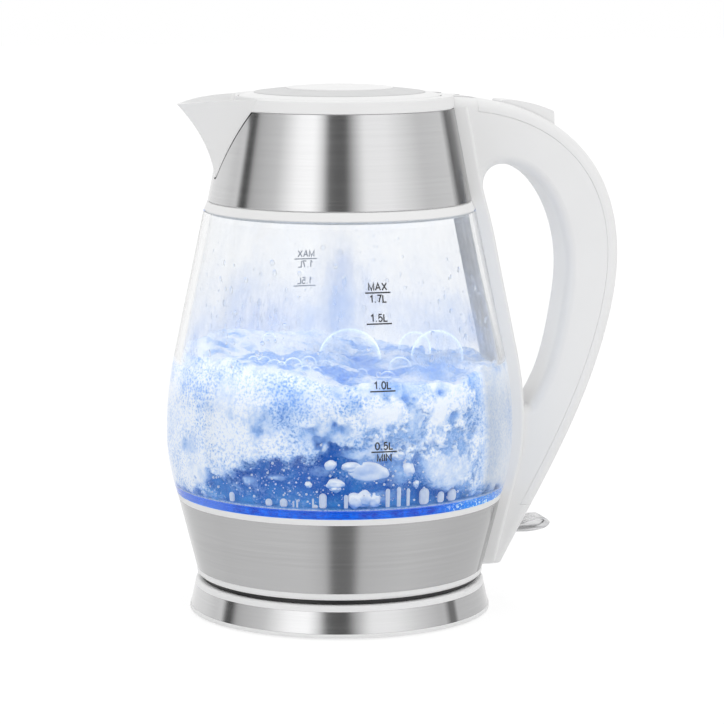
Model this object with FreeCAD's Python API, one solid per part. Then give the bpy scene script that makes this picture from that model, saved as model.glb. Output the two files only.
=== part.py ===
import FreeCAD, Part

import math
import os

from FreeCAD import Vector

# Electric glass kettle on its round power base, in millimetres.
# Z is up and is the axis on which the jug turns on the base. The table is at Z = 0.
# The handle points to +X and the spout to -X, so the XZ plane is the plane of symmetry.

# Power base
BASE_FOOT_HEIGHT = 0.8
BASE_RADIUS = 71.2
BASE_BAND_LOW = (70.7, 2.6)
BASE_BAND_HIGH = (68.6, 12.5)
BASE_DECK_Z = 13.4
BASE_RIM_Z = 15.2
BASE_WALL = 2.0
SEAT_INNER, SEAT_OUTER, SEAT_Z = 50.0, 57.0, 16.0
CONNECTOR_RADIUS = 18.6
CONNECTOR_POST_RADIUS = 5.5
CONNECTOR_POST_TOP = 27.0
CORD_RADIUS = 3.4
CORD_HEIGHT = 7.4
GLAND_WALL = 0.95
FOOT_INNER, FOOT_OUTER, FOOT_GROOVE_TOP = 58.0, 64.0, 1.8

# Steel skins are sheet wrapped on plastic
SKIN = 0.6
SKIN_GAP = 0.05

# Jug below the glass
JUG_FOOT_Z = 16.05
JUG_BOTTOM_Z = 17.5
LOW_BAND_BOTTOM = (67.9, 20.7)
LOW_BAND_TOP = (76.4, 54.1)
GLASS_SEAT_Z = 57.0
HOUSING_WALL = 2.2
PLATE_RADIUS = 66.8
PLATE_TOP_Z = 59.4
PLATE_SHEET = 0.8
ELEMENT_RADIUS = 42.0
ELEMENT_TUBE = 3.8
ELEMENT_Z = 51.7
LED_COUNT = 12
LED_CIRCLE = 71.4
SOCKET_TOP = 32.0
CONTROL_TOP = 47.0
DISC_XS = (-13.0, 13.0)
SKIRT_INNER, SKIRT_OUTER, SKIRT_LOW = 58.2, 65.3, 15.6

# Glass jar: a belly of two arcs and a straight cone above it
GLASS_BOTTOM_Z = 57.5
GLASS_TOP_Z = 189.6
BELLY_Z = 86.0
BELLY_RADIUS = 81.8
BELLY_ARC_LOW = 94.0
BELLY_ARC_HIGH = 170.0
CONE_START_Z = 121.0
GLASS_WALL = 3.5
GLASS_HEEL_BORE = 68.4
GLASS_HEEL_STRAIGHT = 2.2
GLASS_HEEL_RADIUS = 5.5

# Neck, rim and spout
COLLAR_RING_LOW = 190.0
COLLAR_SPIGOT = 59.3
NECK_LAP = 1.2
COLLAR_BOTTOM = (61.75, 194.1)
COLLAR_TOP = (53.2, 237.6)
RIM_TOP_Z = 243.2
RIM_OUTER = 53.4
RIM_LID_BORE = 47.5
MOUTH_RADIUS = 44.5
LID_SEAT_Z = 239.5
LINER_WALL = 2.0
SHADOW_GAP = 0.4
SPOUT_SEAM = 0.8
GASKET_SINK, GASKET_CLEAR = 0.12, 0.02
SPOUT_APEX_Z = 205.8
SPOUT_APEX_ROUND = 3.0
SPOUT_TOP_Z = 243.0
SPOUT_TIP_X = -77.0
SPOUT_TIP_Z = 239.8
SPOUT_TOP_HALF_WIDTH = 26.4
SPOUT_SIDE_BOW = 2.4
SPOUT_LIP_BOW = 0.7
SPOUT_WALL = 2.2
WINDOW_HALF, WINDOW_LOW, WINDOW_HIGH = 17.0, 214.0, 235.0
FILTER_X, FILTER_HALF, FILTER_LOW, FILTER_HIGH = -46.2, 19.5, 211.5, 235.6
FILTER_FRAME = 1.8
FILTER_BORDER = 2.5
GAUZE = 0.4

# Lid
LID_RADIUS = 46.9
LID_EDGE_Z = 243.0
TRIM_RADIUS = 39.9
TRIM_EDGE_Z = 244.8
TRIM_INNER_Z = 246.4
CAP_RADIUS = 24.9
CAP_EDGE_Z = 246.8
CAP_TOP_Z = 248.1
LID_PLUG_RADIUS = 43.0
LID_PLUG_BOTTOM = 229.0
LID_FLOOR_LOW, LID_FLOOR_TOP = 239.9, 242.0
HINGE_X, HINGE_Z = 58.0, 238.6
HINGE_PIN_RADIUS = 1.5
HINGE_BARREL_RADIUS = 3.8
HINGE_TAB_HALF = 9.0
HINGE_PIN_HALF = 10.6
SPRING_HALF = 3.6
TOE_INNER = 4.4
TOE_HALF = 1.6

# Handle
HANDLE_HALF = 13.0
HANDLE_ROUND = 4.5
HANDLE_WALL = 3.0
STRIP_HALF = 15.0
STRIP_THICK = 6.6
STRIP_ROUND = 2.0
HANDLE_BOTTOM_Z = 19.2
SPINE_DEPTH = 6.0
SPINE_START_X = 63.6
SPINE_END_Z = 47.0
SEAM = 0.1
SKIN_CLEAR = 0.05

# Lid button, latch and switch
BUTTON_PIVOT_X, BUTTON_PIVOT_Z = 79.0, 233.8
BUTTON_HALF = 8.0
BUTTON_PIN_RADIUS = 1.25
BUTTON_PIN_HALF = 11.3
BUTTON_CHEEK = 1.2
LATCH_HALF = 3.5
LATCH_LOW = 217.4
LATCH_NOSE_X = 65.4
LATCH_SPRING_Z = 219.6
SPRING_WALL_X = 104.8
WEDGE_SLOPE = 0.5
WEDGE_GAP = 0.9
SWITCH_X, SWITCH_Z = 80.0, 34.5
SWITCH_PIN_RADIUS = 1.5
SWITCH_ARM_END = 34.5
RUNNING = 0.05

# Steam tube
STEAM_TUBE_RADIUS = 2.6
STEAM_TUBE_BORE = 1.8
STEAM_Y = -6.4

# Fasteners
SCREW_SHANK = 1.4
SCREW_HEAD = 2.8
SCREW_HEAD_HEIGHT = 1.7
SCREW_SOCKET = 1.0


def xz(point):
    return Vector(point[0], 0, point[1])


def wire_of(items):
    """A closed wire in the XZ plane. An item is a corner (x, z), or a pair (middle, end) for an arc."""
    edges = []
    first = here = items[0]
    for item in list(items[1:]) + [first]:
        if isinstance(item[0], tuple):
            middle, end = item
            edges.append(Part.Arc(xz(here), xz(middle), xz(end)).toShape())
            here = end
        elif item != here:
            edges.append(Part.LineSegment(xz(here), xz(item)).toShape())
            here = item
    return Part.Wire(edges)


def revolved(*items):
    """A solid turned about Z from a closed outline of (radius, z) items."""
    return Part.Face(wire_of(items)).revolve(Vector(0, 0, 0), Vector(0, 0, 1), 360)


def slab(face, half_width, middle_y=0.0):
    """An XZ face made half_width thick each way along Y."""
    placed = face.translated(Vector(0, middle_y - half_width, 0))
    return placed.extrude(Vector(0, 2 * half_width, 0))


def prism(items, half_width, middle_y=0.0):
    return slab(Part.Face(wire_of(items)), half_width, middle_y)


def ring(inner, outer, low, high):
    return Part.makeCylinder(outer, high - low, Vector(0, 0, low)).cut(
        Part.makeCylinder(inner, high - low, Vector(0, 0, low))
    )


def post(radius, low, high, x=0.0, y=0.0):
    return Part.makeCylinder(radius, high - low, Vector(x, y, low))


def rod_y(radius, half_length, x, z):
    return Part.makeCylinder(radius, 2 * half_length, Vector(x, -half_length, z), Vector(0, 1, 0))


def box(x0, x1, y0, y1, z0, z1):
    return Part.makeBox(x1 - x0, y1 - y0, z1 - z0, Vector(x0, y0, z0))


def around(count, radius, start_degrees=0.0):
    """Points evenly spaced on a circle."""
    for i in range(count):
        angle = math.radians(start_degrees + 360.0 * i / count)
        yield radius * math.cos(angle), radius * math.sin(angle)


def fused(first, *others):
    return first.multiFuse(list(others)).removeSplitter()


def spring(start, axis, radius, wire, turns, length):
    """An unbroken coil along an axis, from a helix."""
    helix = Part.makeHelix(length / turns, length, radius)
    section = Part.Wire(Part.makeCircle(wire, Vector(radius, 0, 0), Vector(0, 1, 0)))
    coil = Part.Wire(helix).makePipeShell([section], True, True)
    coil.Placement = FreeCAD.Placement(start, FreeCAD.Rotation(Vector(0, 0, 1), axis))
    return coil


def screw(head_at, direction, length):
    """A pan-head screw with a round drive recess. head_at is the middle of the head's outer face."""
    head = Part.makeCylinder(SCREW_HEAD, SCREW_HEAD_HEIGHT, head_at, direction)
    shank = Part.makeCylinder(SCREW_SHANK, length, head_at, direction)
    recess = Part.makeCylinder(SCREW_SOCKET, SCREW_HEAD_HEIGHT * 0.6, head_at, direction)
    return fused(head, shank).cut(recess)


def screw_hole(head_at, direction, length, sink):
    """The clearance that a screw needs, with a counterbore that runs out past the head by sink."""
    grow = 0.05
    back = head_at - Vector(direction) * sink
    bore = Part.makeCylinder(SCREW_HEAD + 0.2, SCREW_HEAD_HEIGHT + sink + grow, back, direction)
    return bore.fuse(Part.makeCylinder(SCREW_SHANK + grow, length + 0.3, head_at, direction))


# Outlines that several pieces share
def between(low, high, z):
    """Radius at z on the straight line from low to high, each (radius, z)."""
    return low[0] + (high[0] - low[0]) * (z - low[1]) / (high[1] - low[1])


def low_band_radius(z):
    return between(LOW_BAND_BOTTOM, LOW_BAND_TOP, z)


def collar_radius(z):
    return between(COLLAR_BOTTOM, COLLAR_TOP, z)


def glass_radius(z):
    """Outer radius of the jar."""
    if z <= BELLY_Z:
        return BELLY_RADIUS - BELLY_ARC_LOW + math.sqrt(BELLY_ARC_LOW**2 - (z - BELLY_Z) ** 2)
    arc_z = min(z, CONE_START_Z)
    root = math.sqrt(BELLY_ARC_HIGH**2 - (arc_z - BELLY_Z) ** 2)
    slope = -(arc_z - BELLY_Z) / root
    return BELLY_RADIUS - BELLY_ARC_HIGH + root + slope * (z - arc_z)


def envelope_radius(z):
    """Outer radius of the jug's round body at any height."""
    if z < LOW_BAND_TOP[1]:
        return low_band_radius(z)
    if z < GLASS_BOTTOM_Z:
        return between(LOW_BAND_TOP, (glass_radius(GLASS_BOTTOM_Z), GLASS_BOTTOM_Z), z)
    if z < GLASS_TOP_Z:
        return glass_radius(z)
    if z < COLLAR_BOTTOM[1]:
        return between((glass_radius(GLASS_TOP_Z), GLASS_TOP_Z), COLLAR_BOTTOM, z)
    return collar_radius(z)


def glass_side(grow, low, high):
    """Outline items up the jar's side, grown outwards, from just above low to high."""
    def at(z):
        return glass_radius(z) + grow, z

    low_mid = (low + BELLY_Z) / 2
    high_mid = (BELLY_Z + CONE_START_Z) / 2
    return [at(low), (at(low_mid), at(BELLY_Z)), (at(high_mid), at(CONE_START_Z)), at(high)]


def body_envelope(grow):
    """The jug's round outside from its foot to its rim, grown outwards."""
    low_r, low_z = LOW_BAND_BOTTOM
    top_r, top_z = COLLAR_TOP
    items = [(0, 0), (low_r + grow, 0), (low_r + grow, low_z), (LOW_BAND_TOP[0] + grow, LOW_BAND_TOP[1])]
    items += glass_side(grow, GLASS_BOTTOM_Z, GLASS_TOP_Z)
    items += [(COLLAR_BOTTOM[0] + grow, COLLAR_BOTTOM[1]), (top_r + grow, top_z), (RIM_OUTER + grow, top_z)]
    items += [(RIM_OUTER + grow, RIM_TOP_Z + 20), (0, RIM_TOP_Z + 20)]
    envelope = revolved(*items)
    envelope.rotate(Vector(0, 0, 0), Vector(0, 0, 1), 180)
    return envelope


# Power base
def base_screw_points():
    return list(around(3, 42.0, 30.0))


def base_screw_at(x, y):
    return Vector(x, y, 1.0)


def gland_hole(radius):
    return Part.makeCylinder(radius, 20, Vector(0, 58, CORD_HEIGHT), Vector(0, 1, 0))


def make_base_shell():
    low_r, low_z = BASE_BAND_LOW
    high_r, high_z = BASE_BAND_HIGH
    inset = SKIN + SKIN_GAP
    under = BASE_DECK_Z - BASE_WALL
    shell = revolved(
        (BASE_RADIUS, BASE_FOOT_HEIGHT),
        (BASE_RADIUS, 2.0),
        ((BASE_RADIUS - 0.15, 2.4), (low_r + 0.1, low_z)),
        (low_r - inset, low_z),
        (high_r - inset, high_z),
        (high_r, high_z),
        (high_r - 0.3, BASE_RIM_Z - 1.3),
        ((high_r - 0.8, BASE_RIM_Z - 0.4), (high_r - 1.8, BASE_RIM_Z)),
        (65.0, BASE_RIM_Z),
        (63.4, BASE_DECK_Z),
        (SEAT_OUTER, BASE_DECK_Z),
        (SEAT_OUTER, SEAT_Z - 0.4),
        (SEAT_OUTER - 0.4, SEAT_Z),
        (SEAT_INNER + 0.4, SEAT_Z),
        (SEAT_INNER, SEAT_Z - 0.4),
        (SEAT_INNER, BASE_DECK_Z),
        (CONNECTOR_RADIUS + 0.4, BASE_DECK_Z),
        (CONNECTOR_RADIUS + 0.4, under),
        (high_r - inset - BASE_WALL - 0.2, under),
        (low_r - inset - BASE_WALL, BASE_FOOT_HEIGHT),
    )
    bosses = [post(4.0, 3.0, under + 0.5, x, y) for x, y in base_screw_points()]
    shell = fused(shell, *bosses)
    for x, y in base_screw_points():
        shell = shell.cut(screw_hole(base_screw_at(x, y), Vector(0, 0, 1), 9.0, 1.0))
    return shell.cut(gland_hole(CORD_RADIUS + GLAND_WALL + 0.02))


def make_base_steel_band():
    (low_r, low_z), (high_r, high_z) = BASE_BAND_LOW, BASE_BAND_HIGH
    low, high = low_z + SKIN_GAP, high_z - SKIN_GAP
    band = revolved((low_r, low), (high_r, high), (high_r - SKIN, high), (low_r - SKIN, low))
    return band.cut(gland_hole(CORD_RADIUS + GLAND_WALL + 0.02))


def make_base_lower_cover():
    cover = post(67.0, BASE_FOOT_HEIGHT, 2.8)
    pad = post(16.0, 2.8, 8.4)
    cover = fused(cover, pad)
    cover = cover.cut(ring(FOOT_INNER - 0.1, FOOT_OUTER + 0.1, 0, FOOT_GROOVE_TOP))
    for x, y in base_screw_points():
        cover = cover.cut(screw_hole(base_screw_at(x, y), Vector(0, 0, 1), 9.0, 1.0))
    return cover


def make_base_foot_ring():
    return ring(FOOT_INNER, FOOT_OUTER, 0, FOOT_GROOVE_TOP - 0.02)


def make_base_screws():
    ats = [base_screw_at(x, y) for x, y in base_screw_points()]
    return Part.makeCompound([screw(at, Vector(0, 0, 1), 8.5) for at in ats])


def make_cord_gland():
    axis = Vector(0, 1, 0)
    outer = CORD_RADIUS + GLAND_WALL
    body = Part.makeCylinder(outer, 10.0, Vector(0, 61.5, CORD_HEIGHT), axis)
    inner_flange = Part.makeCylinder(outer + 1.6, 1.6, Vector(0, 61.5, CORD_HEIGHT), axis)
    inner_flange = inner_flange.common(box(-10.0, 10.0, 50.0, 80.0, 2.9, 11.3))
    return fused(body, inner_flange).cut(gland_hole(CORD_RADIUS))


def make_base_connector():
    groove_floor, top = 11.5, 14.0
    return revolved(
        (0, 8.6),
        (21.0, 8.6),
        (21.0, 10.8),
        (CONNECTOR_RADIUS, 10.8),
        (CONNECTOR_RADIUS, top - 0.5),
        (CONNECTOR_RADIUS - 0.5, top),
        (15.0, top),
        (15.0, groove_floor),
        (7.5, groove_floor),
        (7.5, top + 1.0),
        (CONNECTOR_POST_RADIUS, top + 1.0),
        (CONNECTOR_POST_RADIUS, CONNECTOR_POST_TOP - 1.0),
        (CONNECTOR_POST_RADIUS - 1.0, CONNECTOR_POST_TOP),
        (0, CONNECTOR_POST_TOP),
    )


def make_connector_contacts():
    line_ring = ring(10.0, 12.4, 11.5, 13.0)
    centre_pin = revolved(
        (0, CONNECTOR_POST_TOP), (2.0, CONNECTOR_POST_TOP), (2.0, 28.4), (1.2, 29.0), (0, 29.0)
    )
    return Part.makeCompound([line_ring, centre_pin])


# Jug below the glass
def housing_screw_points():
    return list(around(3, 59.6, 60.0))


def housing_screw_at(x, y):
    return Vector(x, y, 18.0)


def make_jug_bottom_cover():
    low_r, low_z = LOW_BAND_BOTTOM
    cover = revolved(
        (20.5, JUG_BOTTOM_Z),
        (49.0, JUG_BOTTOM_Z),
        (49.4, JUG_FOOT_Z),
        (57.6, JUG_FOOT_Z),
        (58.0, JUG_BOTTOM_Z),
        (low_r - 1.5, JUG_BOTTOM_Z),
        ((low_r - 0.55, JUG_BOTTOM_Z + 0.45), (low_r - 0.2, JUG_BOTTOM_Z + 1.3)),
        (low_r - 0.05, low_z - 0.05),
        (low_r - 4.0, low_z - 0.05),
        (low_r - 4.0, 22.6),
        (low_r - 6.0, 22.6),
        (low_r - 6.0, 20.0),
        (20.5, 20.0),
    )
    for x, y in housing_screw_points():
        cover = cover.cut(screw_hole(housing_screw_at(x, y), Vector(0, 0, 1), 16.0, 2.5))
    return cover


def make_jug_skirt():
    """Dark ring under the jug that fills the shadow between the jug and its base."""
    return ring(SKIRT_INNER, SKIRT_OUTER, SKIRT_LOW, JUG_BOTTOM_Z - 0.02)


def led_points():
    return list(around(LED_COUNT, LED_CIRCLE, 15.0))


def make_lower_housing():
    inset = SKIN + SKIN_GAP
    low_r, low_z = LOW_BAND_BOTTOM
    top_r, top_z = LOW_BAND_TOP
    shelf_low, shelf_top, shelf_inner = 52.4, 54.6, 62.5
    wall = inset + HOUSING_WALL
    housing = revolved(
        (low_r - inset, low_z),
        (top_r - inset, top_z),
        (top_r, top_z),
        (glass_radius(GLASS_BOTTOM_Z) - 0.1, GLASS_SEAT_Z),
        (69.4, GLASS_SEAT_Z),
        (69.4, shelf_top),
        (shelf_inner, shelf_top),
        (shelf_inner, shelf_low),
        (low_band_radius(shelf_low) - wall, shelf_low),
        (low_r - wall, low_z),
    )
    for x, y in housing_screw_points():
        web = post(4.6, 22.8, 40.0, x, y)
        reach = math.hypot(x, y)
        arm = box(reach, reach + 9.0, -2.0, 2.0, 22.8, 40.0)
        arm.rotate(Vector(0, 0, 0), Vector(0, 0, 1), math.degrees(math.atan2(y, x)))
        inside = revolved(
            (0, low_z), (low_r - inset - 0.5, low_z), (low_band_radius(48) - inset - 0.5, 48.0), (0, 48.0)
        )
        housing = fused(housing, web, arm.common(inside))
    for x, y in housing_screw_points():
        housing = housing.cut(screw_hole(housing_screw_at(x, y), Vector(0, 0, 1), 16.0, 2.5))
    for x, y in led_points():
        housing = housing.cut(post(2.3, 50.0, 60.0, x, y))
    return housing.cut(switch_passage()).cut(lower_handle_screw_holes())


def switch_passage():
    return box(55.0, 86.0, -6.0, 6.0, 24.5, 41.0)


def make_lower_steel_band():
    (low_r, low_z), (top_r, top_z) = LOW_BAND_BOTTOM, LOW_BAND_TOP
    band = revolved(
        (low_r, low_z), (top_r, top_z - 0.05), (top_r - SKIN, top_z - 0.05), (low_r - SKIN, low_z)
    )
    return band.cut(switch_passage()).cut(lower_handle_screw_holes())


def make_glass_seal():
    return ring(69.6, glass_radius(GLASS_BOTTOM_Z) - 0.5, GLASS_SEAT_Z, GLASS_BOTTOM_Z)


def make_plate_seal():
    return revolved(
        (PLATE_RADIUS + 0.02, 54.62),
        (69.2, 54.62),
        (69.2, GLASS_SEAT_Z),
        (GLASS_HEEL_BORE - 0.05, GLASS_BOTTOM_Z),
        (GLASS_HEEL_BORE - 0.05, PLATE_TOP_Z + 0.3),
        (PLATE_RADIUS + 0.02, PLATE_TOP_Z + 0.3),
    )


def make_heater_plate():
    """A pressed steel pan bottom with a rolled-down edge."""
    under = PLATE_TOP_Z - PLATE_SHEET
    edge = PLATE_RADIUS - PLATE_SHEET
    return revolved(
        (0, under),
        (edge - 1.2, under),
        ((edge - 0.35, under - 0.35), (edge, under - 1.2)),
        (edge, 54.65),
        (PLATE_RADIUS, 54.65),
        (PLATE_RADIUS, PLATE_TOP_Z - 2.0),
        ((PLATE_RADIUS - 0.6, PLATE_TOP_Z - 0.6), (PLATE_RADIUS - 2.0, PLATE_TOP_Z)),
        (0, PLATE_TOP_Z),
    )


def make_heat_spreader():
    return post(55.0, ELEMENT_Z + ELEMENT_TUBE + 0.02, PLATE_TOP_Z - PLATE_SHEET - 0.02)


def make_heating_element():
    """A sheathed horseshoe element with a cold terminal at each end."""
    sweep = 300.0
    hoop = Part.makeTorus(
        ELEMENT_RADIUS, ELEMENT_TUBE, Vector(0, 0, ELEMENT_Z), Vector(0, 0, 1), 0, 360, sweep
    )
    hoop.rotate(Vector(0, 0, 0), Vector(0, 0, 1), 180 - sweep / 2)
    terminals = []
    for sign in (-1, 1):
        angle = math.radians(180 + sign * sweep / 2)
        x, y = ELEMENT_RADIUS * math.cos(angle), ELEMENT_RADIUS * math.sin(angle)
        terminals.append(post(1.6, 40.0, ELEMENT_Z, x, y))
    return fused(hoop, *terminals)


def make_jug_socket():
    return revolved(
        (6.2, 17.9),
        (9.6, 17.9),
        (9.6, 26.0),
        (12.8, 26.0),
        (12.8, 17.9),
        (19.6, 17.9),
        (19.6, 20.6),
        (24.0, 20.6),
        (24.0, 24.0),
        (19.6, 24.0),
        (19.6, SOCKET_TOP),
        (0, SOCKET_TOP),
        (0, 30.8),
        (6.2, 30.8),
    )


def make_socket_contacts():
    blade_ring = ring(10.5, 11.7, 13.3, 25.9)
    centre_cup = ring(3.0, 4.4, 28.0, 30.75)
    return Part.makeCompound([blade_ring, centre_cup])


def make_control_unit():
    """Thermostat control: a stepped moulding over the socket, with two posts for the boil-dry discs."""
    body = box(-24.0, 30.0, -19.0, 19.0, SOCKET_TOP + 0.05, CONTROL_TOP)
    body = body.makeFillet(2.0, [e for e in body.Edges if abs(e.tangentAt(e.FirstParameter).z) > 0.9])
    side_rails = [box(-18.0, 24.0, s * 21.0 - 2.0, s * 21.0 + 2.0, SOCKET_TOP + 2.0, 40.0) for s in (-1, 1)]
    posts = [post(6.5, CONTROL_TOP - 1.0, 53.6, x, 0) for x in DISC_XS]
    trip_slot = box(22.0, 31.0, -6.0, 6.0, 32.0, 41.0)
    return fused(body, *side_rails, *posts).cut(trip_slot)


def make_boil_dry_discs():
    return Part.makeCompound([post(8.5, 53.65, 54.25, x, 0) for x in DISC_XS])


def make_steam_disc():
    """Snap disc that trips the switch when steam reaches it, standing behind the lever's inner end."""
    return Part.makeCylinder(9.0, 0.7, Vector(33.0, 0, 38.5 + 9.5), Vector(1, 0, 0)).cut(
        box(30.0, 36.0, -10.0, 10.0, 47.6, 60.0)
    )


def make_led_board():
    board = ring(68.4, 72.6, 50.0, 51.2)
    outside = revolved((72.2, 49.0), (80.0, 49.0), (80.0, 52.3), (73.0, 52.3))
    return board.cut(outside)


def make_blue_leds():
    leds = []
    for x, y in led_points():
        lamp = box(-1.5, 1.5, -1.5, 1.5, 51.22, 52.6).fuse(post(1.2, 52.6, 53.4))
        lamp.rotate(Vector(0, 0, 0), Vector(0, 0, 1), math.degrees(math.atan2(y, x)))
        lamp.translate(Vector(x, y, 0))
        leds.append(lamp)
    return Part.makeCompound(leds)


def make_housing_screws():
    return Part.makeCompound(
        [screw(housing_screw_at(x, y), Vector(0, 0, 1), 15.5) for x, y in housing_screw_points()]
    )


# Glass and neck
def make_glass_jar():
    """Open tube of blown glass whose foot turns in to a thick rounded heel."""
    outer = glass_side(0.0, GLASS_BOTTOM_Z, GLASS_TOP_Z)
    heel_low = GLASS_BOTTOM_Z + GLASS_HEEL_STRAIGHT
    heel_top = heel_low + GLASS_HEEL_RADIUS
    inner_low = glass_radius(heel_top) - GLASS_WALL
    heel_mid_r = GLASS_HEEL_BORE + 0.72 * (inner_low - GLASS_HEEL_BORE)
    heel_mid = (heel_mid_r, heel_low + 0.32 * GLASS_HEEL_RADIUS)

    def inside(z):
        return glass_radius(z) - GLASS_WALL, z

    inner = [
        inside(GLASS_TOP_Z),
        inside(CONE_START_Z),
        (inside((CONE_START_Z + BELLY_Z) / 2), inside(BELLY_Z)),
        (inside((BELLY_Z + heel_top) / 2), (inner_low, heel_top)),
        (heel_mid, (GLASS_HEEL_BORE, heel_low)),
        (GLASS_HEEL_BORE, GLASS_BOTTOM_Z),
    ]
    return revolved(*(outer + inner))


def make_neck_seal():
    inner = COLLAR_SPIGOT + 0.05
    low = GLASS_TOP_Z - NECK_LAP
    return revolved(
        (inner, low),
        (glass_radius(low) - GLASS_WALL - 0.05, low),
        (glass_radius(GLASS_TOP_Z) - GLASS_WALL - 0.05, GLASS_TOP_Z + 0.02),
        (glass_radius(GLASS_TOP_Z) - 0.5, GLASS_TOP_Z + 0.02),
        (glass_radius(GLASS_TOP_Z) - 0.5, COLLAR_RING_LOW - 0.02),
        (inner, COLLAR_RING_LOW - 0.02),
    )


def make_collar_ring():
    edge = 0.3
    low, high = COLLAR_RING_LOW, COLLAR_BOTTOM[1]
    spigot_low = GLASS_TOP_Z - NECK_LAP - 0.2
    return revolved(
        (envelope_radius(low) - edge, low),
        (envelope_radius(low + edge), low + edge),
        (envelope_radius(high - edge), high - edge),
        (envelope_radius(high) - edge, high),
        (57.0, high),
        (57.0, spigot_low),
        (COLLAR_SPIGOT, spigot_low),
        (COLLAR_SPIGOT, low),
    )


def collar_sheet(sink):
    """The cone of sheet round the neck, with its outside sunk below the collar's face."""
    low, high = COLLAR_BOTTOM[1] + SHADOW_GAP, COLLAR_TOP[1] - SHADOW_GAP
    return revolved(
        (collar_radius(low) - sink, low),
        (collar_radius(high) - sink, high),
        (collar_radius(high) - SKIN, high),
        (collar_radius(low) - SKIN, low),
    )


def make_steel_collar():
    collar = collar_sheet(0.0).cut(spout_solid(SPOUT_SEAM)).cut(spout_foot(SPOUT_SEAM))
    return collar.cut(upper_handle_screw_holes()).cut(steam_port())


def make_spout_gasket():
    """A dark bead in the seam between the beak and the collar, a little below both faces."""
    wide = SPOUT_SEAM - GASKET_CLEAR
    seam = collar_sheet(GASKET_SINK).common(spout_solid(wide).fuse(spout_foot(wide)))
    return seam.cut(spout_solid(GASKET_CLEAR)).cut(spout_foot(GASKET_CLEAR))


def spout_share(z):
    """How far z is up the beak, from 0 at its foot to 1 at its tip."""
    return max(0.0, (z - SPOUT_APEX_Z) / (SPOUT_TIP_Z - SPOUT_APEX_Z))


def spout_tip_x(z):
    """Distance of the beak's keel from the axis: a curve that flares towards the top."""
    share = spout_share(z)
    root = -collar_radius(SPOUT_APEX_Z)
    return root + (SPOUT_TIP_X - root) * (0.28 * share + 0.72 * share**2.1)


SPOUT_FLARE = math.atan2(SPOUT_TOP_HALF_WIDTH, SPOUT_TOP_Z - SPOUT_APEX_Z)


def spout_flank_low(grow):
    """Height at which the beak's straight flanks leave its round foot."""
    return SPOUT_APEX_Z - grow + (SPOUT_APEX_ROUND + grow) * (1 - math.sin(SPOUT_FLARE))


def spout_half_width(z, grow):
    """Half width between the beak's flanks, grown outwards."""
    foot = (SPOUT_APEX_ROUND + grow) * math.cos(SPOUT_FLARE)
    return foot + (z - spout_flank_low(grow)) * math.tan(SPOUT_FLARE)


def spout_section(z, grow, inner_x):
    """A level slice of the beak: two bowed sides that meet in a rounded keel."""
    half = spout_half_width(z, grow)
    root_x = -math.sqrt(max(collar_radius(z) ** 2 - half**2, 1.0))
    tip = spout_tip_x(z) - grow
    keel = max(0.6, 0.16 * half)
    slant = math.atan2(half, max(root_x - tip - keel, 0.5))
    turn = min(slant, math.radians(80))
    back = Vector(inner_x, half, z)
    root = Vector(root_x, half, z)
    shoulder = Vector(tip + keel - keel * math.sin(turn), keel * math.cos(turn), z)
    side = root - shoulder
    outwards = Vector(-side.y, side.x, 0).normalize()
    bow = 0.03 + SPOUT_SIDE_BOW * spout_share(z) ** 2
    middle = (root + shoulder) * 0.5 + outwards * bow

    def far(point):
        return Vector(point.x, -point.y, z)

    edges = [
        Part.LineSegment(back, root).toShape(),
        Part.Arc(root, middle, shoulder).toShape(),
        Part.Arc(shoulder, Vector(tip, 0, z), far(shoulder)).toShape(),
        Part.Arc(far(shoulder), far(middle), far(root)).toShape(),
        Part.LineSegment(far(root), far(back)).toShape(),
        Part.LineSegment(far(back), back).toShape(),
    ]
    return Part.Wire(edges)


def spout_foot(grow):
    """The round foot of the beak's V, which lies in the collar's surface."""
    middle = Vector(-70.0, 0, SPOUT_APEX_Z + SPOUT_APEX_ROUND)
    rod = Part.makeCylinder(SPOUT_APEX_ROUND + grow, 40.0, middle, Vector(1, 0, 0))
    (low_r, low_z), (top_r, top_z) = COLLAR_BOTTOM, COLLAR_TOP
    proud = 0.25
    return rod.common(revolved((0, low_z), (low_r + proud, low_z), (top_r + proud, top_z), (0, top_z)))


SPOUT_RISES = (0.0, 3.7, 7.5, 12.5, 18.5, 24.5, 31.0, 39.0)


def spout_solid(grow, inner_x=-30.0):
    low = spout_flank_low(grow)
    sections = [spout_section(low + rise, grow, inner_x) for rise in SPOUT_RISES]
    return Part.makeLoft(sections, True, False)


def spout_top_trim():
    """Everything above the beak's lip, which bows down from the rim to the tip."""
    rim = (-RIM_LID_BORE, SPOUT_TOP_Z)
    tip = (SPOUT_TIP_X - 1.0, SPOUT_TIP_Z)
    middle = ((rim[0] + tip[0]) / 2, (rim[1] + tip[1]) / 2 + SPOUT_LIP_BOW)
    far_x, far_z = -120.0, 300.0
    above = [(far_x, tip[1]), (far_x, far_z), (0.0, far_z), (0.0, SPOUT_TOP_Z)]
    return prism([rim, (middle, tip)] + above, 80.0)


def neck_inside(grow):
    """The bore inside the neck liner up to the lid seat."""
    inset = SKIN + SKIN_GAP + LINER_WALL - grow
    low, high = COLLAR_BOTTOM[1] - 1.0, 236.0
    return revolved(
        (0, low), (collar_radius(low) - inset, low), (collar_radius(high) - inset, high), (0, high)
    )


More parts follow.
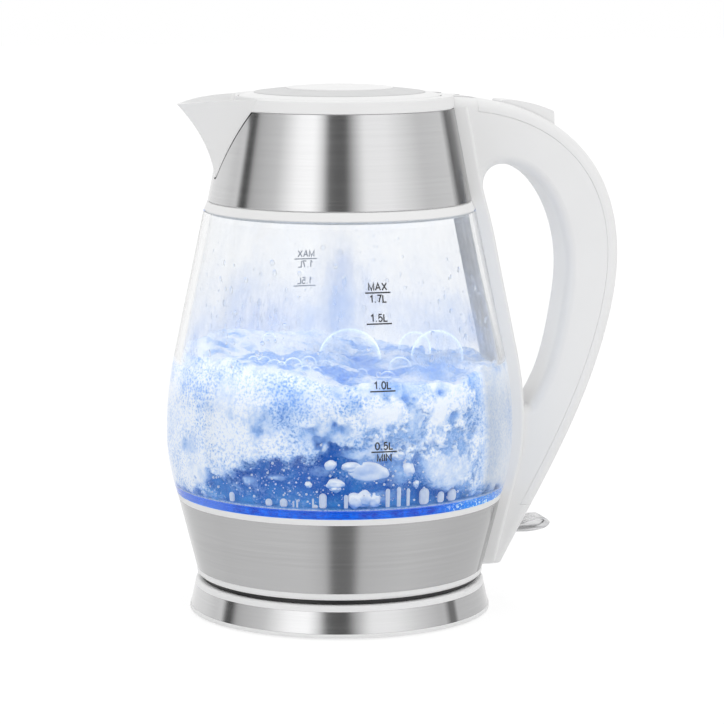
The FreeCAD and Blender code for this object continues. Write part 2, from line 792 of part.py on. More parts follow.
def make_spout_rim():
    """White neck: liner behind the steel collar, rim around the lid, and the pouring beak."""
    inset = SKIN + SKIN_GAP
    low = COLLAR_BOTTOM[1] + 0.05
    top_r, top_z = COLLAR_TOP
    neck = revolved(
        (collar_radius(low) - inset, low),
        (top_r - inset, top_z),
        (RIM_OUTER, top_z),
        (RIM_OUTER - 0.2, RIM_TOP_Z - 0.9),
        ((RIM_OUTER - 0.45, RIM_TOP_Z - 0.25), (RIM_OUTER - 1.1, RIM_TOP_Z)),
        (RIM_LID_BORE + 0.6, RIM_TOP_Z),
        (RIM_LID_BORE, RIM_TOP_Z - 0.6),
        (RIM_LID_BORE, LID_SEAT_Z),
        (MOUTH_RADIUS, LID_SEAT_Z),
        (MOUTH_RADIUS, 236.0),
        (collar_radius(236.0) - inset - LINER_WALL, 236.0),
        (collar_radius(low) - inset - LINER_WALL, low),
    )

    def inside(rim_radius):
        return revolved(
            (0, low),
            (collar_radius(low) - inset - 0.5, low),
            (collar_radius(top_z) - inset - 0.5, top_z),
            (rim_radius, top_z),
            (rim_radius, RIM_TOP_Z + 20),
            (0, RIM_TOP_Z + 20),
        )

    beak = spout_solid(0.0).fuse(spout_foot(0.0)).cut(spout_top_trim()).cut(inside(RIM_OUTER - 1.5))
    hollow = spout_solid(-SPOUT_WALL).cut(inside(RIM_LID_BORE + 1.3))
    window = box(-60.0, -40.0, -WINDOW_HALF, WINDOW_HALF, WINDOW_LOW, WINDOW_HIGH)
    window = window.common(spout_solid(-SPOUT_WALL, -38.0))
    rails = []
    for sign in (-1, 1):
        rail = box(-60.0, FILTER_X + 2.6, 19.0, 23.0, 211.0, 235.9)
        if sign < 0:
            rail = rail.mirror(Vector(0, 0, 0), Vector(0, 1, 0))
        rails.append(rail.common(neck_inside(0.4)))
    slot = box(
        FILTER_X - 0.15,
        FILTER_X + FILTER_FRAME + 0.15,
        -FILTER_HALF - 0.15,
        FILTER_HALF + 0.15,
        205.0,
        FILTER_HIGH + 0.35,
    )
    hinge_slot = box(40.0, 60.0, -HINGE_TAB_HALF - 0.5, HINGE_TAB_HALF + 0.5, 238.2, 260.0)
    solid = fused(neck, beak, *rails).cut(hollow).cut(window).cut(slot).cut(hinge_slot)
    return solid.cut(upper_handle_screw_holes()).cut(steam_port())


def filter_panes(border):
    """Each half of the filter as (y0, y1, z0, z1), with a border around it."""
    low, high = FILTER_LOW + border, FILTER_HIGH - border
    post_half = border - FILTER_BORDER + 0.8
    yield -FILTER_HALF + border, -post_half, low, high
    yield post_half, FILTER_HALF - border, low, high


def make_filter_frame():
    frame = box(FILTER_X, FILTER_X + FILTER_FRAME, -FILTER_HALF, FILTER_HALF, FILTER_LOW, FILTER_HIGH)
    for pane in filter_panes(FILTER_BORDER):
        frame = frame.cut(box(FILTER_X - 1, FILTER_X + 4, *pane))
    return frame


def upright_face(x, y0, y1, z0, z1):
    corners = ((y0, z0), (y1, z0), (y1, z1), (y0, z1), (y0, z0))
    return Part.Face(Part.makePolygon([Vector(x, y, z) for y, z in corners]))


def make_filter_mesh():
    """A steel gauze pane in each half of the frame."""
    pitch, hole = 2.1, 1.4
    x = FILTER_X + (FILTER_FRAME - GAUZE) / 2
    solids = []
    for y0, y1, z0, z1 in filter_panes(FILTER_BORDER + 0.05):
        columns = int((y1 - y0 - 0.6) / pitch)
        rows = int((z1 - z0 - 0.6) / pitch)
        start_y = (y0 + y1 - columns * pitch + pitch - hole) / 2
        start_z = (z0 + z1 - rows * pitch + pitch - hole) / 2
        gaps = []
        for i in range(columns):
            for j in range(rows):
                y, z = start_y + i * pitch, start_z + j * pitch
                gaps.append(upright_face(x, y, y + hole, z, z + hole))
        pane = upright_face(x, y0, y1, z0, z1).cut(Part.makeCompound(gaps))
        solids += pane.extrude(Vector(GAUZE, 0, 0)).Solids
    return Part.makeCompound(solids)


# Lid
def lid_screw_points():
    return list(around(3, 30.0, 60.0))


def lid_screw_at(x, y):
    return Vector(x, y, 231.2)


def make_lid_shell():
    """Lid moulding: floor, outer ring, plug skirt and the hinge tab with its toe."""
    shell = revolved(
        (0, LID_FLOOR_LOW),
        (LID_PLUG_RADIUS - 2.0, LID_FLOOR_LOW),
        (LID_PLUG_RADIUS - 2.0, 236.5),
        (LID_PLUG_RADIUS, 236.5),
        (LID_PLUG_RADIUS + 0.6, LID_SEAT_Z + 0.05),
        (LID_RADIUS, LID_SEAT_Z + 0.05),
        (LID_RADIUS, LID_EDGE_Z - 0.4),
        ((LID_RADIUS - 0.35, LID_EDGE_Z + 0.25), (LID_RADIUS - 1.3, LID_EDGE_Z + 0.55)),
        (TRIM_RADIUS + 0.15, TRIM_EDGE_Z - 0.25),
        (TRIM_RADIUS + 0.15, LID_FLOOR_TOP),
        (0, LID_FLOOR_TOP),
    )
    bosses = [post(3.6, 233.0, LID_FLOOR_LOW + 0.5, x, y) for x, y in lid_screw_points()]
    tab_top = (HINGE_X, HINGE_Z + HINGE_BARREL_RADIUS)
    tab = prism([(44.0, 239.6), (HINGE_X, 238.8), tab_top, (44.0, LID_EDGE_Z)], HINGE_TAB_HALF)
    tab = tab.cut(post(LID_RADIUS - 1.0, 230, 250))
    barrel = rod_y(HINGE_BARREL_RADIUS, HINGE_TAB_HALF, HINGE_X, HINGE_Z)
    shell = fused(shell, *bosses, tab, barrel)
    spring_room = rod_y(HINGE_BARREL_RADIUS + 0.4, SPRING_HALF + 0.4, HINGE_X, HINGE_Z)
    shell = fused(shell.cut(spring_room), *toe_prongs())
    shell = shell.cut(rod_y(HINGE_PIN_RADIUS + RUNNING, 20, HINGE_X, HINGE_Z))
    for x, y in lid_screw_points():
        shell = shell.cut(screw_hole(lid_screw_at(x, y), Vector(0, 0, 1), 8.0, 3.0))
    return shell


def toe_prongs():
    """Two prongs behind the hinge, one on each side of the lid spring."""
    outline = [(HINGE_X, 235.4), (64.6, 235.4), (65.0, 235.8), (65.0, 237.6), (HINGE_X, 238.6)]
    return [prism(outline, TOE_HALF, sign * (TOE_INNER + TOE_HALF)) for sign in (-1, 1)]


def make_lid_trim_ring():
    inner = CAP_RADIUS + 0.15
    return revolved(
        (inner, LID_FLOOR_TOP + 0.02),
        (TRIM_RADIUS, LID_FLOOR_TOP + 0.02),
        (TRIM_RADIUS, TRIM_EDGE_Z - 0.3),
        ((TRIM_RADIUS - 0.1, TRIM_EDGE_Z - 0.05), (TRIM_RADIUS - 0.5, TRIM_EDGE_Z + 0.05)),
        ((32.0, TRIM_INNER_Z - 0.6), (inner, TRIM_INNER_Z)),
    )


def make_lid_cap():
    edge_r, edge_z = CAP_RADIUS - 0.8, CAP_EDGE_Z + 0.1
    ball = (edge_r**2 + (CAP_TOP_Z - edge_z) ** 2) / (2 * (CAP_TOP_Z - edge_z))
    half_r = edge_r / 2
    half_z = CAP_TOP_Z - ball + math.sqrt(ball**2 - half_r**2)
    return revolved(
        (0, LID_FLOOR_TOP + 0.02),
        (CAP_RADIUS, LID_FLOOR_TOP + 0.02),
        (CAP_RADIUS, CAP_EDGE_Z - 0.4),
        ((CAP_RADIUS - 0.2, CAP_EDGE_Z - 0.05), (edge_r, edge_z)),
        ((half_r, half_z), (0, CAP_TOP_Z)),
    )


def make_lid_inner():
    """Steel cup that closes the underside of the lid."""
    wall = 0.8
    outer = LID_PLUG_RADIUS - 2.1
    cup = revolved(
        (0, LID_PLUG_BOTTOM),
        (outer - 3.0, LID_PLUG_BOTTOM),
        ((outer - 0.9, LID_PLUG_BOTTOM + 0.9), (outer, LID_PLUG_BOTTOM + 3.0)),
        (outer, 239.4),
        (outer - wall, 239.4),
        (outer - wall, LID_PLUG_BOTTOM + 3.4),
        ((outer - wall - 0.9, LID_PLUG_BOTTOM + 1.8), (outer - wall - 2.8, LID_PLUG_BOTTOM + wall)),
        (0, LID_PLUG_BOTTOM + wall),
    )
    seats = [post(3.6, LID_PLUG_BOTTOM + 0.3, 232.95, x, y) for x, y in lid_screw_points()]
    cup = fused(cup, *seats)
    for x, y in lid_screw_points():
        cup = cup.cut(screw_hole(lid_screw_at(x, y), Vector(0, 0, 1), 8.0, 3.0))
    return cup


def make_lid_seal():
    """Soft ring on the plug, under the lid's shoulder."""
    inner = LID_PLUG_RADIUS - 2.0
    return revolved(
        (inner, 232.4),
        (inner + 1.2, 232.4),
        (inner + 2.6, 234.0),
        (inner + 2.6, 234.6),
        (inner + 1.6, 236.4),
        (inner, 236.4),
    )


def make_lid_screws():
    ats = [lid_screw_at(x, y) for x, y in lid_screw_points()]
    return Part.makeCompound([screw(at, Vector(0, 0, 1), 7.5) for at in ats])


def make_hinge_pin():
    return rod_y(HINGE_PIN_RADIUS, HINGE_PIN_HALF, HINGE_X, HINGE_Z)


def make_lid_spring():
    """Torsion spring on the hinge pin, between the lid's two knuckles."""
    start = Vector(HINGE_X, -SPRING_HALF + 0.5, HINGE_Z)
    return spring(start, Vector(0, 1, 0), 2.35, 0.4, 5, 2 * SPRING_HALF - 1.0)


# Handle
OUTER_POINTS = (
    (40.0, 242.3),
    (57.0, 241.9),
    (76.0, 239.2),
    (103.5, 227.6),
    (124.9, 204.9),
    (134.5, 167.0),
    (129.8, 132.6),
    (114.4, 89.3),
    (77.4, HANDLE_BOTTOM_Z),
)
HOLE_POINTS = (
    (67.9, 196.0),
    (67.3, 199.5),
    (67.7, 203.5),
    (70.0, 207.5),
    (74.2, 209.8),
    (78.5, 209.9),
    (89.2, 206.0),
    (99.2, 195.2),
    (105.7, 180.5),
    (108.6, 162.0),
    (106.3, 139.0),
    (99.9, 112.5),
    (91.0, 95.5),
)
HOLE_FOOT = ((89.2, 93.9), (87.0, 96.4))
CAVITY_INNER_POINTS = (
    (63.0, 216.5),
    (78.5, 214.2),
    (91.9, 208.8),
    (102.2, 197.4),
    (108.9, 181.6),
    (111.8, 162.0),
    (109.6, 138.4),
    (103.2, 111.4),
    (91.5, 86.0),
)


def curve_through(points):
    curve = Part.BSplineCurve()
    curve.interpolate([xz(p) for p in points])
    return curve


def shifted_points(curve, inwards, steps=14):
    """Points beside a curve in the XZ plane, moved to its inner side."""
    first, last = curve.FirstParameter, curve.LastParameter
    found = []
    for i in range(steps + 1):
        u = first + (last - first) * i / steps
        along = curve.tangent(u)[0]
        normal = Vector(along.z, 0, -along.x).normalize()
        p = curve.value(u) + normal * -inwards
        found.append((p.x, p.z))
    return found


def outer_curve():
    return curve_through(OUTER_POINTS)


def handle_face():
    outer = outer_curve()
    foot = OUTER_POINTS[-1]
    start = OUTER_POINTS[0]
    edges = [outer.toShape()]
    corners = [foot, (foot[0] - 2.0, foot[1] - 0.1), (40.0, foot[1] - 0.1), start]
    edges += [Part.LineSegment(xz(a), xz(b)).toShape() for a, b in zip(corners, corners[1:])]
    hole = curve_through(HOLE_POINTS)
    hole_edges = [
        hole.toShape(),
        Part.Arc(xz(HOLE_POINTS[-1]), xz(HOLE_FOOT[0]), xz(HOLE_FOOT[1])).toShape(),
        Part.LineSegment(xz(HOLE_FOOT[1]), xz(HOLE_POINTS[0])).toShape(),
    ]
    return Part.Face(Part.Wire(edges)).cut(Part.Face(Part.Wire(hole_edges)))


def rounded_loop():
    """The grip and both its roots as one slab with rounded edges."""
    loop = slab(handle_face(), HANDLE_HALF)
    rounded = []
    for edge in loop.Edges:
        spans_y = edge.BoundBox.YLength > 0.1
        straight = edge.Curve.TypeId == "Part::GeomLine"
        if not spans_y and not straight:
            rounded.append(edge)
    return loop.makeFillet(HANDLE_ROUND, rounded)


def strip():
    """The wide flange that follows the jug's side from the foot to the rim."""
    low, high = HANDLE_BOTTOM_Z + 0.4, COLLAR_TOP[1] - 0.1
    heights = [low + (high - low) * i / 12 for i in range(13)]
    side = curve_through([(envelope_radius(z) + STRIP_THICK, z) for z in heights])
    corners = [(side.EndPoint.x, high), (0, high), (0, low), (side.StartPoint.x, low)]
    edges = [side.toShape()]
    edges += [Part.LineSegment(xz(a), xz(b)).toShape() for a, b in zip(corners, corners[1:])]
    turned = Part.Face(Part.Wire(edges)).revolve(Vector(0, 0, 0), Vector(0, 0, 1), 360)
    turned.rotate(Vector(0, 0, 0), Vector(0, 0, 1), 180)
    outside = turned.common(box(30.0, 120.0, -STRIP_HALF, STRIP_HALF, 0.0, 300.0))
    long_edges = []
    for edge in outside.Edges:
        on_side = abs(abs(edge.CenterOfMass.y) - STRIP_HALF) < 0.01
        if on_side and edge.BoundBox.XMin > 40.0 and edge.BoundBox.ZLength > 5.0:
            long_edges.append(edge)
    return outside.makeFillet(STRIP_ROUND, long_edges)


def spine_region(grow):
    """A slab that holds what belongs to the spine cover, grown on its inner sides."""
    curve = outer_curve()
    outside = shifted_points(curve, 8.0)
    inside = shifted_points(curve, -(SPINE_DEPTH + grow))
    face = Part.Face(
        Part.Wire(
            [
                curve_through(outside).toShape(),
                Part.LineSegment(xz(outside[-1]), xz(inside[-1])).toShape(),
                curve_through(inside).toShape(),
                Part.LineSegment(xz(inside[0]), xz(outside[0])).toShape(),
            ]
        )
    )
    whole = slab(face, 30.0)
    keep = box(SPINE_START_X - grow, 200.0, -40, 40, SPINE_END_Z - grow, 300.0)
    return whole.common(keep)


def handle_cavity():
    """Room inside the handle for the steam tube, the latch and the switch."""
    curve = outer_curve()
    outside = [p for p in shifted_points(curve, -HANDLE_WALL, 60) if p[0] > 63.0 and p[1] > 24.0]
    lower = [(88.5, 80.0), (82.6, 60.0), (76.6, 36.0), (74.0, 25.0)]
    inner = curve_through(CAVITY_INNER_POINTS)
    outer = curve_through(outside)
    chain = [CAVITY_INNER_POINTS[-1]] + lower + [outside[-1]]
    edges = [inner.toShape()]
    edges += [Part.LineSegment(xz(a), xz(b)).toShape() for a, b in zip(chain, chain[1:])]
    edges += [outer.toShape(), Part.LineSegment(xz(outside[0]), xz(CAVITY_INNER_POINTS[0])).toShape()]
    return slab(Part.Face(Part.Wire(edges)), HANDLE_HALF - HANDLE_WALL)


def button_room():
    """The slot in the spine under the lid button."""
    return box(76.2, 103.6, -BUTTON_HALF - 0.4, BUTTON_HALF + 0.4, 222.0, 260.0)


def hinge_room():
    """The open notch for the lid's knuckles, and the well in which its toe swings."""
    notch = box(40.0, SPINE_START_X - SEAM, -HINGE_TAB_HALF - 0.4, HINGE_TAB_HALF + 0.4, 234.2, 260.0)
    well = box(40.0, 66.4, -TOE_INNER - 3.8, TOE_INNER + 3.8, 226.5, 239.2)
    return notch.fuse(well)


def switch_room():
    return box(60.0, 110.0, -8.6, 8.6, 27.8, 43.0)


def lower_handle_screw_ats():
    return [Vector(low_band_radius(46.0) - 5.3, s * 9.5, 46.0) for s in (-1, 1)]


def upper_handle_screw_ats():
    return [Vector(54.6, s * 8.5, 204.0) for s in (-1, 1)]


def lower_handle_screw_holes():
    ats = lower_handle_screw_ats()
    return Part.makeCompound([screw_hole(at, Vector(1, 0, 0), 12.0, 0.5) for at in ats])


def upper_handle_screw_holes():
    ats = upper_handle_screw_ats()
    return Part.makeCompound([screw_hole(at, Vector(1, 0, 0), 9.5, 0.5) for at in ats])


def steam_port():
    """The hole that lets steam from the neck into the handle."""
    start = Vector(45.0, STEAM_Y, STEAM_ROUTE[0][1])
    return Part.makeCylinder(STEAM_TUBE_BORE, 30.0, start, Vector(1, 0, 0))


def make_handle_screws():
    lower = [screw(at, Vector(1, 0, 0), 12.0) for at in lower_handle_screw_ats()]
    upper = [screw(at, Vector(1, 0, 0), 9.5) for at in upper_handle_screw_ats()]
    return Part.makeCompound(lower + upper)


def whole_handle():
    return fused(rounded_loop(), strip()).cut(body_envelope(SKIN_CLEAR))


def make_handle_body(whole):
    body = whole.cut(spine_region(SEAM)).cut(handle_cavity()).cut(hinge_room()).cut(switch_room())
    body = body.cut(rod_y(HINGE_PIN_RADIUS + 0.02, HINGE_PIN_HALF + 0.1, HINGE_X, HINGE_Z))
    spring_wall = [
        box(SPRING_WALL_X, SPRING_WALL_X + 2.0, -10.2, 10.2, 212.0, 216.5),
        box(SPRING_WALL_X, SPRING_WALL_X + 2.0, -9.6, 9.6, 212.0, 221.0),
    ]
    pin_cheeks = [
        prism([(76.0, 25.2), (83.0, 32.0), (83.0, 41.0), (77.0, 38.0)], 0.75, s * 9.35) for s in (-1, 1)
    ]
    body = fused(body, *spring_wall, *pin_cheeks)
    body = body.cut(rod_y(SWITCH_PIN_RADIUS + 0.02, 10.4, SWITCH_X, SWITCH_Z))
    return body.cut(lower_handle_screw_holes()).cut(upper_handle_screw_holes()).cut(steam_port())


def make_handle_spine(whole):
    spine = whole.common(spine_region(0.0)).cut(handle_cavity()).cut(button_room()).cut(hinge_room())
    return spine.cut(rod_y(BUTTON_PIN_RADIUS + 0.02, BUTTON_PIN_HALF + 0.1, BUTTON_PIVOT_X, BUTTON_PIVOT_Z))


def wedge_z(x):
    """Top of the latch's ramp, which rises away from the lid."""
    return 219.8 + WEDGE_SLOPE * (x - 88.0)


def make_lid_button():
    """Thumb lever: its nose turns on a pin and its tail stands proud of the spine."""
    plate = prism(
        [
            (76.6, 233.8),
            (76.6, 239.4),
            (77.4, 240.2),
            ((90.5, 238.5), (102.1, 234.6)),
            (102.6, 233.8),
            (102.8, 227.2),
            (100.2, 227.0),
            (100.2, 232.2),
            ((91.0, 235.4), (82.4, 236.6)),
            (81.8, 233.8),
        ],
        BUTTON_HALF,
    )
    boss = rod_y(2.6, BUTTON_HALF, BUTTON_PIVOT_X, BUTTON_PIVOT_Z)
    side = [(82.0, 233.8), (82.4, 236.8), ((91.0, 235.6), (100.4, 232.4)), (100.4, 227.1), (84.0, 230.0)]
    cheeks = [prism(side, BUTTON_CHEEK / 2, sign * (BUTTON_HALF - BUTTON_CHEEK / 2)) for sign in (-1, 1)]
    near, far = 91.0, 95.0
    low_near, low_far = wedge_z(near) + WEDGE_GAP, wedge_z(far) + WEDGE_GAP
    rib = prism([(near, 236.0), (near, low_near), (far, low_far), (far, 235.5)], 2.5)
    lever = fused(plate, boss, rib, *cheeks)
    return lever.cut(rod_y(BUTTON_PIN_RADIUS + RUNNING, 20.0, BUTTON_PIVOT_X, BUTTON_PIVOT_Z))


def make_button_pin():
    return rod_y(BUTTON_PIN_RADIUS, BUTTON_PIN_HALF, BUTTON_PIVOT_X, BUTTON_PIVOT_Z)


def make_latch_slider():
    """Bar behind the lid's toe, wedged back by the button's rib."""
    bar = prism(
        [
            (66.4, LATCH_LOW),
            (97.4, LATCH_LOW),
            (97.4, wedge_z(96.4)),
            (96.4, wedge_z(96.4)),
            (88.0, wedge_z(88.0)),
            (69.0, wedge_z(88.0)),
            (69.0, 236.2),
            (66.4, 236.2),
        ],
        LATCH_HALF,
    )
    head = box(LATCH_NOSE_X, 68.4, -7.4, 7.4, 232.4, 236.2)
    return fused(bar, head)


def make_latch_spring():
    start = Vector(97.7, 0, LATCH_SPRING_Z)
    return spring(start, Vector(1, 0, 0), 1.8, 0.3, 6, SPRING_WALL_X - 0.3 - start.x)


STEAM_ROUTE = (
    (66.0, 222.0),
    (84.0, 219.0),
    (104.0, 207.5),
    (117.0, 188.0),
    (121.5, 164.0),
    (118.5, 139.0),
    (111.0, 113.0),
    (100.5, 89.0),
    (91.0, 68.0),
    (85.0, 53.0),
)


def rounded_route(points, y):
    """Straight runs joined by tangent arcs, each as large as its two runs allow."""
    corners = [Vector(x, y, z) for x, z in points]
    edges = []
    here = corners[0]
    for before, corner, after in zip(corners, corners[1:], corners[2:]):
        into = (corner - before).normalize()
        out = (after - corner).normalize()
        reach = 0.45 * min((corner - before).Length, (after - corner).Length)
        start, end = corner - into * reach, corner + out * reach
        half_turn = into.getAngle(out) / 2
        bisector = (out - into).normalize()
        radius = reach / math.tan(half_turn)
        middle = corner + bisector * (radius / math.cos(half_turn) - radius)
        edges.append(Part.LineSegment(here, start).toShape())
        edges.append(Part.Arc(start, middle, end).toShape())
        here = end
    edges.append(Part.LineSegment(here, corners[-1]).toShape())
    return Part.Wire(edges)


def make_steam_tube():
    route = rounded_route(STEAM_ROUTE, STEAM_Y)
    first = Vector(STEAM_ROUTE[0][0], STEAM_Y, STEAM_ROUTE[0][1])
    along = Vector(STEAM_ROUTE[1][0], STEAM_Y, STEAM_ROUTE[1][1]) - first
    sections = [Part.Wire(Part.makeCircle(r, first, along)) for r in (STEAM_TUBE_RADIUS, STEAM_TUBE_BORE)]
    outer, bore = [route.makePipeShell([s], True, False) for s in sections]
    return outer.cut(bore)


# Switch
PADDLE_POINTS = (
    (84.0, 32.6),
    (92.0, 32.4),
    (98.0, 33.2),
    (101.9, 35.0),
    (102.7, 36.5),
    (101.4, 38.1),
    (98.2, 38.9),
    (92.5, 38.3),
    (84.0, 36.4),
)


def make_switch_lever():
    """Clear rocker: a thumb paddle outside the handle, a hub on the pin and an arm into the control."""
    edges = [curve_through(PADDLE_POINTS).toShape()]
    edges.append(Part.LineSegment(xz(PADDLE_POINTS[-1]), xz(PADDLE_POINTS[0])).toShape())
    paddle = slab(Part.Face(Part.Wire(edges)), 7.6)
    sides = [e for e in paddle.Edges if e.BoundBox.YLength < 0.1 and e.Curve.TypeId != "Part::GeomLine"]
    paddle = paddle.makeFillet(0.9, sides)
    hub = rod_y(3.6, 6.8, SWITCH_X, SWITCH_Z)
    web = box(SWITCH_X, 86.0, -6.0, 6.0, 32.4, 36.8)
    arm = box(SWITCH_ARM_END, SWITCH_X, -3.0, 3.0, 33.0, 36.0)
    lever = fused(paddle, hub, web, arm)
    return lever.cut(rod_y(SWITCH_PIN_RADIUS + RUNNING, 20, SWITCH_X, SWITCH_Z))


def make_switch_pin():
    return rod_y(SWITCH_PIN_RADIUS, 10.3, SWITCH_X, SWITCH_Z)


MAKERS = (
    make_base_connector,
    make_base_foot_ring,
    make_base_lower_cover,
    make_base_screws,
    make_base_shell,
    make_base_steel_band,
    make_blue_leds,
    make_boil_dry_discs,
    make_button_pin,
    make_collar_ring,
    make_connector_contacts,
    make_control_unit,
    make_cord_gland,
    make_filter_frame,
    make_filter_mesh,
    make_glass_jar,
    make_glass_seal,
    make_handle_screws,
    make_heat_spreader,
    make_heater_plate,
    make_heating_element,
    make_hinge_pin,
    make_housing_screws,
    make_jug_bottom_cover,
    make_jug_skirt,
    make_jug_socket,
    make_latch_slider,
    make_latch_spring,
    make_led_board,
    make_lid_button,
    make_lid_cap,
    make_lid_inner,
    make_lid_screws,
    make_lid_seal,
    make_lid_shell,
    make_lid_spring,
    make_lid_trim_ring,
    make_lower_housing,
    make_lower_steel_band,
    make_neck_seal,
    make_plate_seal,
    make_socket_contacts,
    make_spout_gasket,
    make_spout_rim,
    make_steam_disc,
    make_steam_tube,
    make_steel_collar,
    make_switch_lever,
    make_switch_pin,
)


def all_nodes():
    whole = whole_handle()
    nodes = {
        "handle_body": make_handle_body(whole),
        "handle_spine": make_handle_spine(whole),
    }
    for maker in MAKERS:
        nodes[maker.__name__.removeprefix("make_")] = maker()
    return nodes


def main():
    os.makedirs("parts", exist_ok=True)
    for name, shape in sorted(all_nodes().items()):
        solids = shape.Solids
        shape = solids[0] if len(solids) == 1 else Part.makeCompound(solids)
        state = "ok" if shape.isValid() and solids else "BAD"
        print(f"{name:22s} {state} solids {len(solids)} volume {shape.Volume:.1f}")
        shape.exportStep(f"parts/{name}.step")


if __name__ == "__main__":
    main()
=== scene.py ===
import math
import random

import bmesh
import bpy
from mathutils import Matrix, Vector, noise


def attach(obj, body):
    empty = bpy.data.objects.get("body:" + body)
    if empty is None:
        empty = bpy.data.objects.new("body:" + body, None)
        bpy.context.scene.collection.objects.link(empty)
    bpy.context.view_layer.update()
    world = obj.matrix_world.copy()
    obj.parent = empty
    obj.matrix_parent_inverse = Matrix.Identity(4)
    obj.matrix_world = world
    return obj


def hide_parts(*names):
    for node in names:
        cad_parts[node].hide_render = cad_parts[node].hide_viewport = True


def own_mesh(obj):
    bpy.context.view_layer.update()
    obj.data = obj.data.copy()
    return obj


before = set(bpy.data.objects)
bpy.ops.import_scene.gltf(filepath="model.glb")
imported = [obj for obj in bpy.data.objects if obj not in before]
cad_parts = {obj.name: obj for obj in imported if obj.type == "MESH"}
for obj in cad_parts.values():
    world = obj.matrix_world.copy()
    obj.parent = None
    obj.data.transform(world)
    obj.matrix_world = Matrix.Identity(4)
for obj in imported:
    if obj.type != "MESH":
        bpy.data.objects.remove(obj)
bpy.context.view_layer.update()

MM = 0.001

# Camera, standing where the photograph was taken from
CAMERA_PLACE = (-0.3436, -1.3578, 0.3276)
CAMERA_HEADING = math.radians(-14.2)
CAMERA_PITCH = math.radians(8.54)
CAMERA_LENS = 149.2
CAMERA_SHIFT = 0.0311
SENSOR_WIDTH = 36.0
FRONT = CAMERA_HEADING - math.pi / 2

# Glass jar, in millimetres: two arcs and a cone outside, one wall thickness inside
BELLY_Z, BELLY_RADIUS = 86.0, 81.8
ARC_LOW, ARC_HIGH = 94.0, 170.0
CONE_START_Z = 121.0
GLASS_WALL = 3.5
HEEL_TOP_Z, HEEL_BORE, HEEL_BORE_Z = 65.2, 68.4, 59.7

# How strongly light bends in glass, in water, in acrylic and in a film of water
GLASS_INDEX, WATER_INDEX, ACRYLIC_INDEX, FILM_INDEX = 1.47, 1.33, 1.49, 1.12

# Boiling water, in millimetres
WATER_BOTTOM_Z = 59.8
WATER_LEVEL_Z = 116.0
WATER_GAP = 0.8
CLEAR_DEPTH = 5.0
WATER_COLUMNS, WATER_ROWS, WATER_RINGS = 640, 150, 60

# Bearings are in degrees to the right of the camera's side. The back of the jar repeats the front.
# Upper edge of the clear water: bearing and height
CLEAR_LINE = [
    (-90, 62), (-64, 63), (-54, 66), (-51, 74), (-44, 75.5), (-35, 79.5), (-27.5, 82), (-20.7, 83),
    (-13, 84.3), (-6.6, 85.5), (-1.5, 86.5), (3, 84.5), (10, 83.5), (15, 86.5), (22, 87.5), (27, 84.5),
    (30, 80), (33, 72.5), (44, 66), (50, 64), (90, 62),
]
# Pale clouds in the clear water and clear pools in the froth: bearing, height, width, tall, whiteness
CLOUDS = [
    (-57, 73, 15, 9, 0.80), (-28, 98.5, 15, 15, 0.52), (-4, 96.5, 26, 12, 0.46), (-1.5, 88.8, 12, 6.5, 0.14),
    (-62, 84, 14, 9, 0.60), (16, 104, 16, 9, 0.92), (26, 100, 7, 18, 0.50), (36, 104, 9, 12, 0.94),
    (42, 101, 6, 6, 0.46), (-33, 73, 9, 6, 0.42), (-22, 75.5, 11, 3.5, 0.46), (21.5, 80, 12, 18, 0.44),
    (9.5, 86.5, 18, 5, 0.60), (9.5, 79, 22, 11, 0.46), (38.5, 76, 31, 14, 0.72), (-6, 79, 12, 5, 0.30),
    (12, 67, 22, 6, 0.40), (-0.5, 115, 5, 6, 0.42), (22, 114, 17, 10, 0.44), (38, 115, 17, 8, 0.46),
    (13, 116, 22, 7, 0.50), (-42, 108, 13, 18, 0.74),
]
# Lumps of steam that stand out in the clear water: bearing, height, width, tall
STEAM_LUMPS = [
    (9.5, 79, 18, 8.6), (4, 81, 8, 5), (-1.5, 73.4, 8, 4.6), (-1.5, 71.4, 5, 3.6), (-3, 82, 5.4, 5),
    (-10.5, 73, 2.8, 3.2), (5.5, 65.9, 7, 7), (9, 66.1, 8, 7.4), (12, 65.7, 6, 6.6), (27, 72, 2.8, 3.2),
    (33, 77.5, 11, 10), (41, 78, 17, 9), (31.5, 92, 6, 9), (12.5, 94.5, 5.5, 4), (-58, 71.5, 6, 7),
    (-54, 75, 5, 4), (20, 85.5, 7, 5), (24, 79, 5, 7),
]
LUMP_THICK, LUMP_DEPTH, LUMP_SWELL = 3.6, 3.1, 0.30
# Fingers of steam that stand on the plate: bearing, width, height
COLUMNS = [
    (-40, 2.9, 4.4), (-25, 3.3, 3.2), (-19.5, 3.6, 3.8), (-15.8, 0.8, 3.0), (-14.5, 0.9, 3.5), (-9, 0.9, 4.4),
    (-5.7, 3.5, 6.8), (-8.3, 2.6, 1.6), (2.2, 1.9, 6.2), (16.6, 2.0, 8.5), (20.6, 1.9, 9.0), (24, 1.6, 8.0),
    (30.5, 5.0, 7.5), (37.3, 3.6, 5.0), (42.5, 5.0, 5.5),
]
COLUMN_FOOT_Z, COLUMN_FLAT = 62.4, 0.7
COLUMN_STEPS, COLUMN_SIDES = 5, 14
# Loose bubbles: how many on each side, their middle bearing and its spread, how far in they are and how large
LOOSE_BUBBLES, BUBBLE_SEED = 420, 11
BUBBLE_BEARING, BUBBLE_SPREAD = -6, 34
BUBBLE_DEPTH, BUBBLE_DRIFT = 1.2, 2.0
BUBBLE_SIZE, BUBBLE_GROWTH = 0.40, 0.9
# Bubbles and drops: points of a quarter of their outline, and sides
BEAD_STEPS, BEAD_SIDES = 3, 12

# Heave of the surface, in millimetres: long swell, short chop, froth piled up on the left, rise at both ends
SWELL, SWELL_LENGTH = 4.0, 30
CHOP, CHOP_LENGTH = 1.4, 8
PILED, END_RISE = 6.5, 3.0

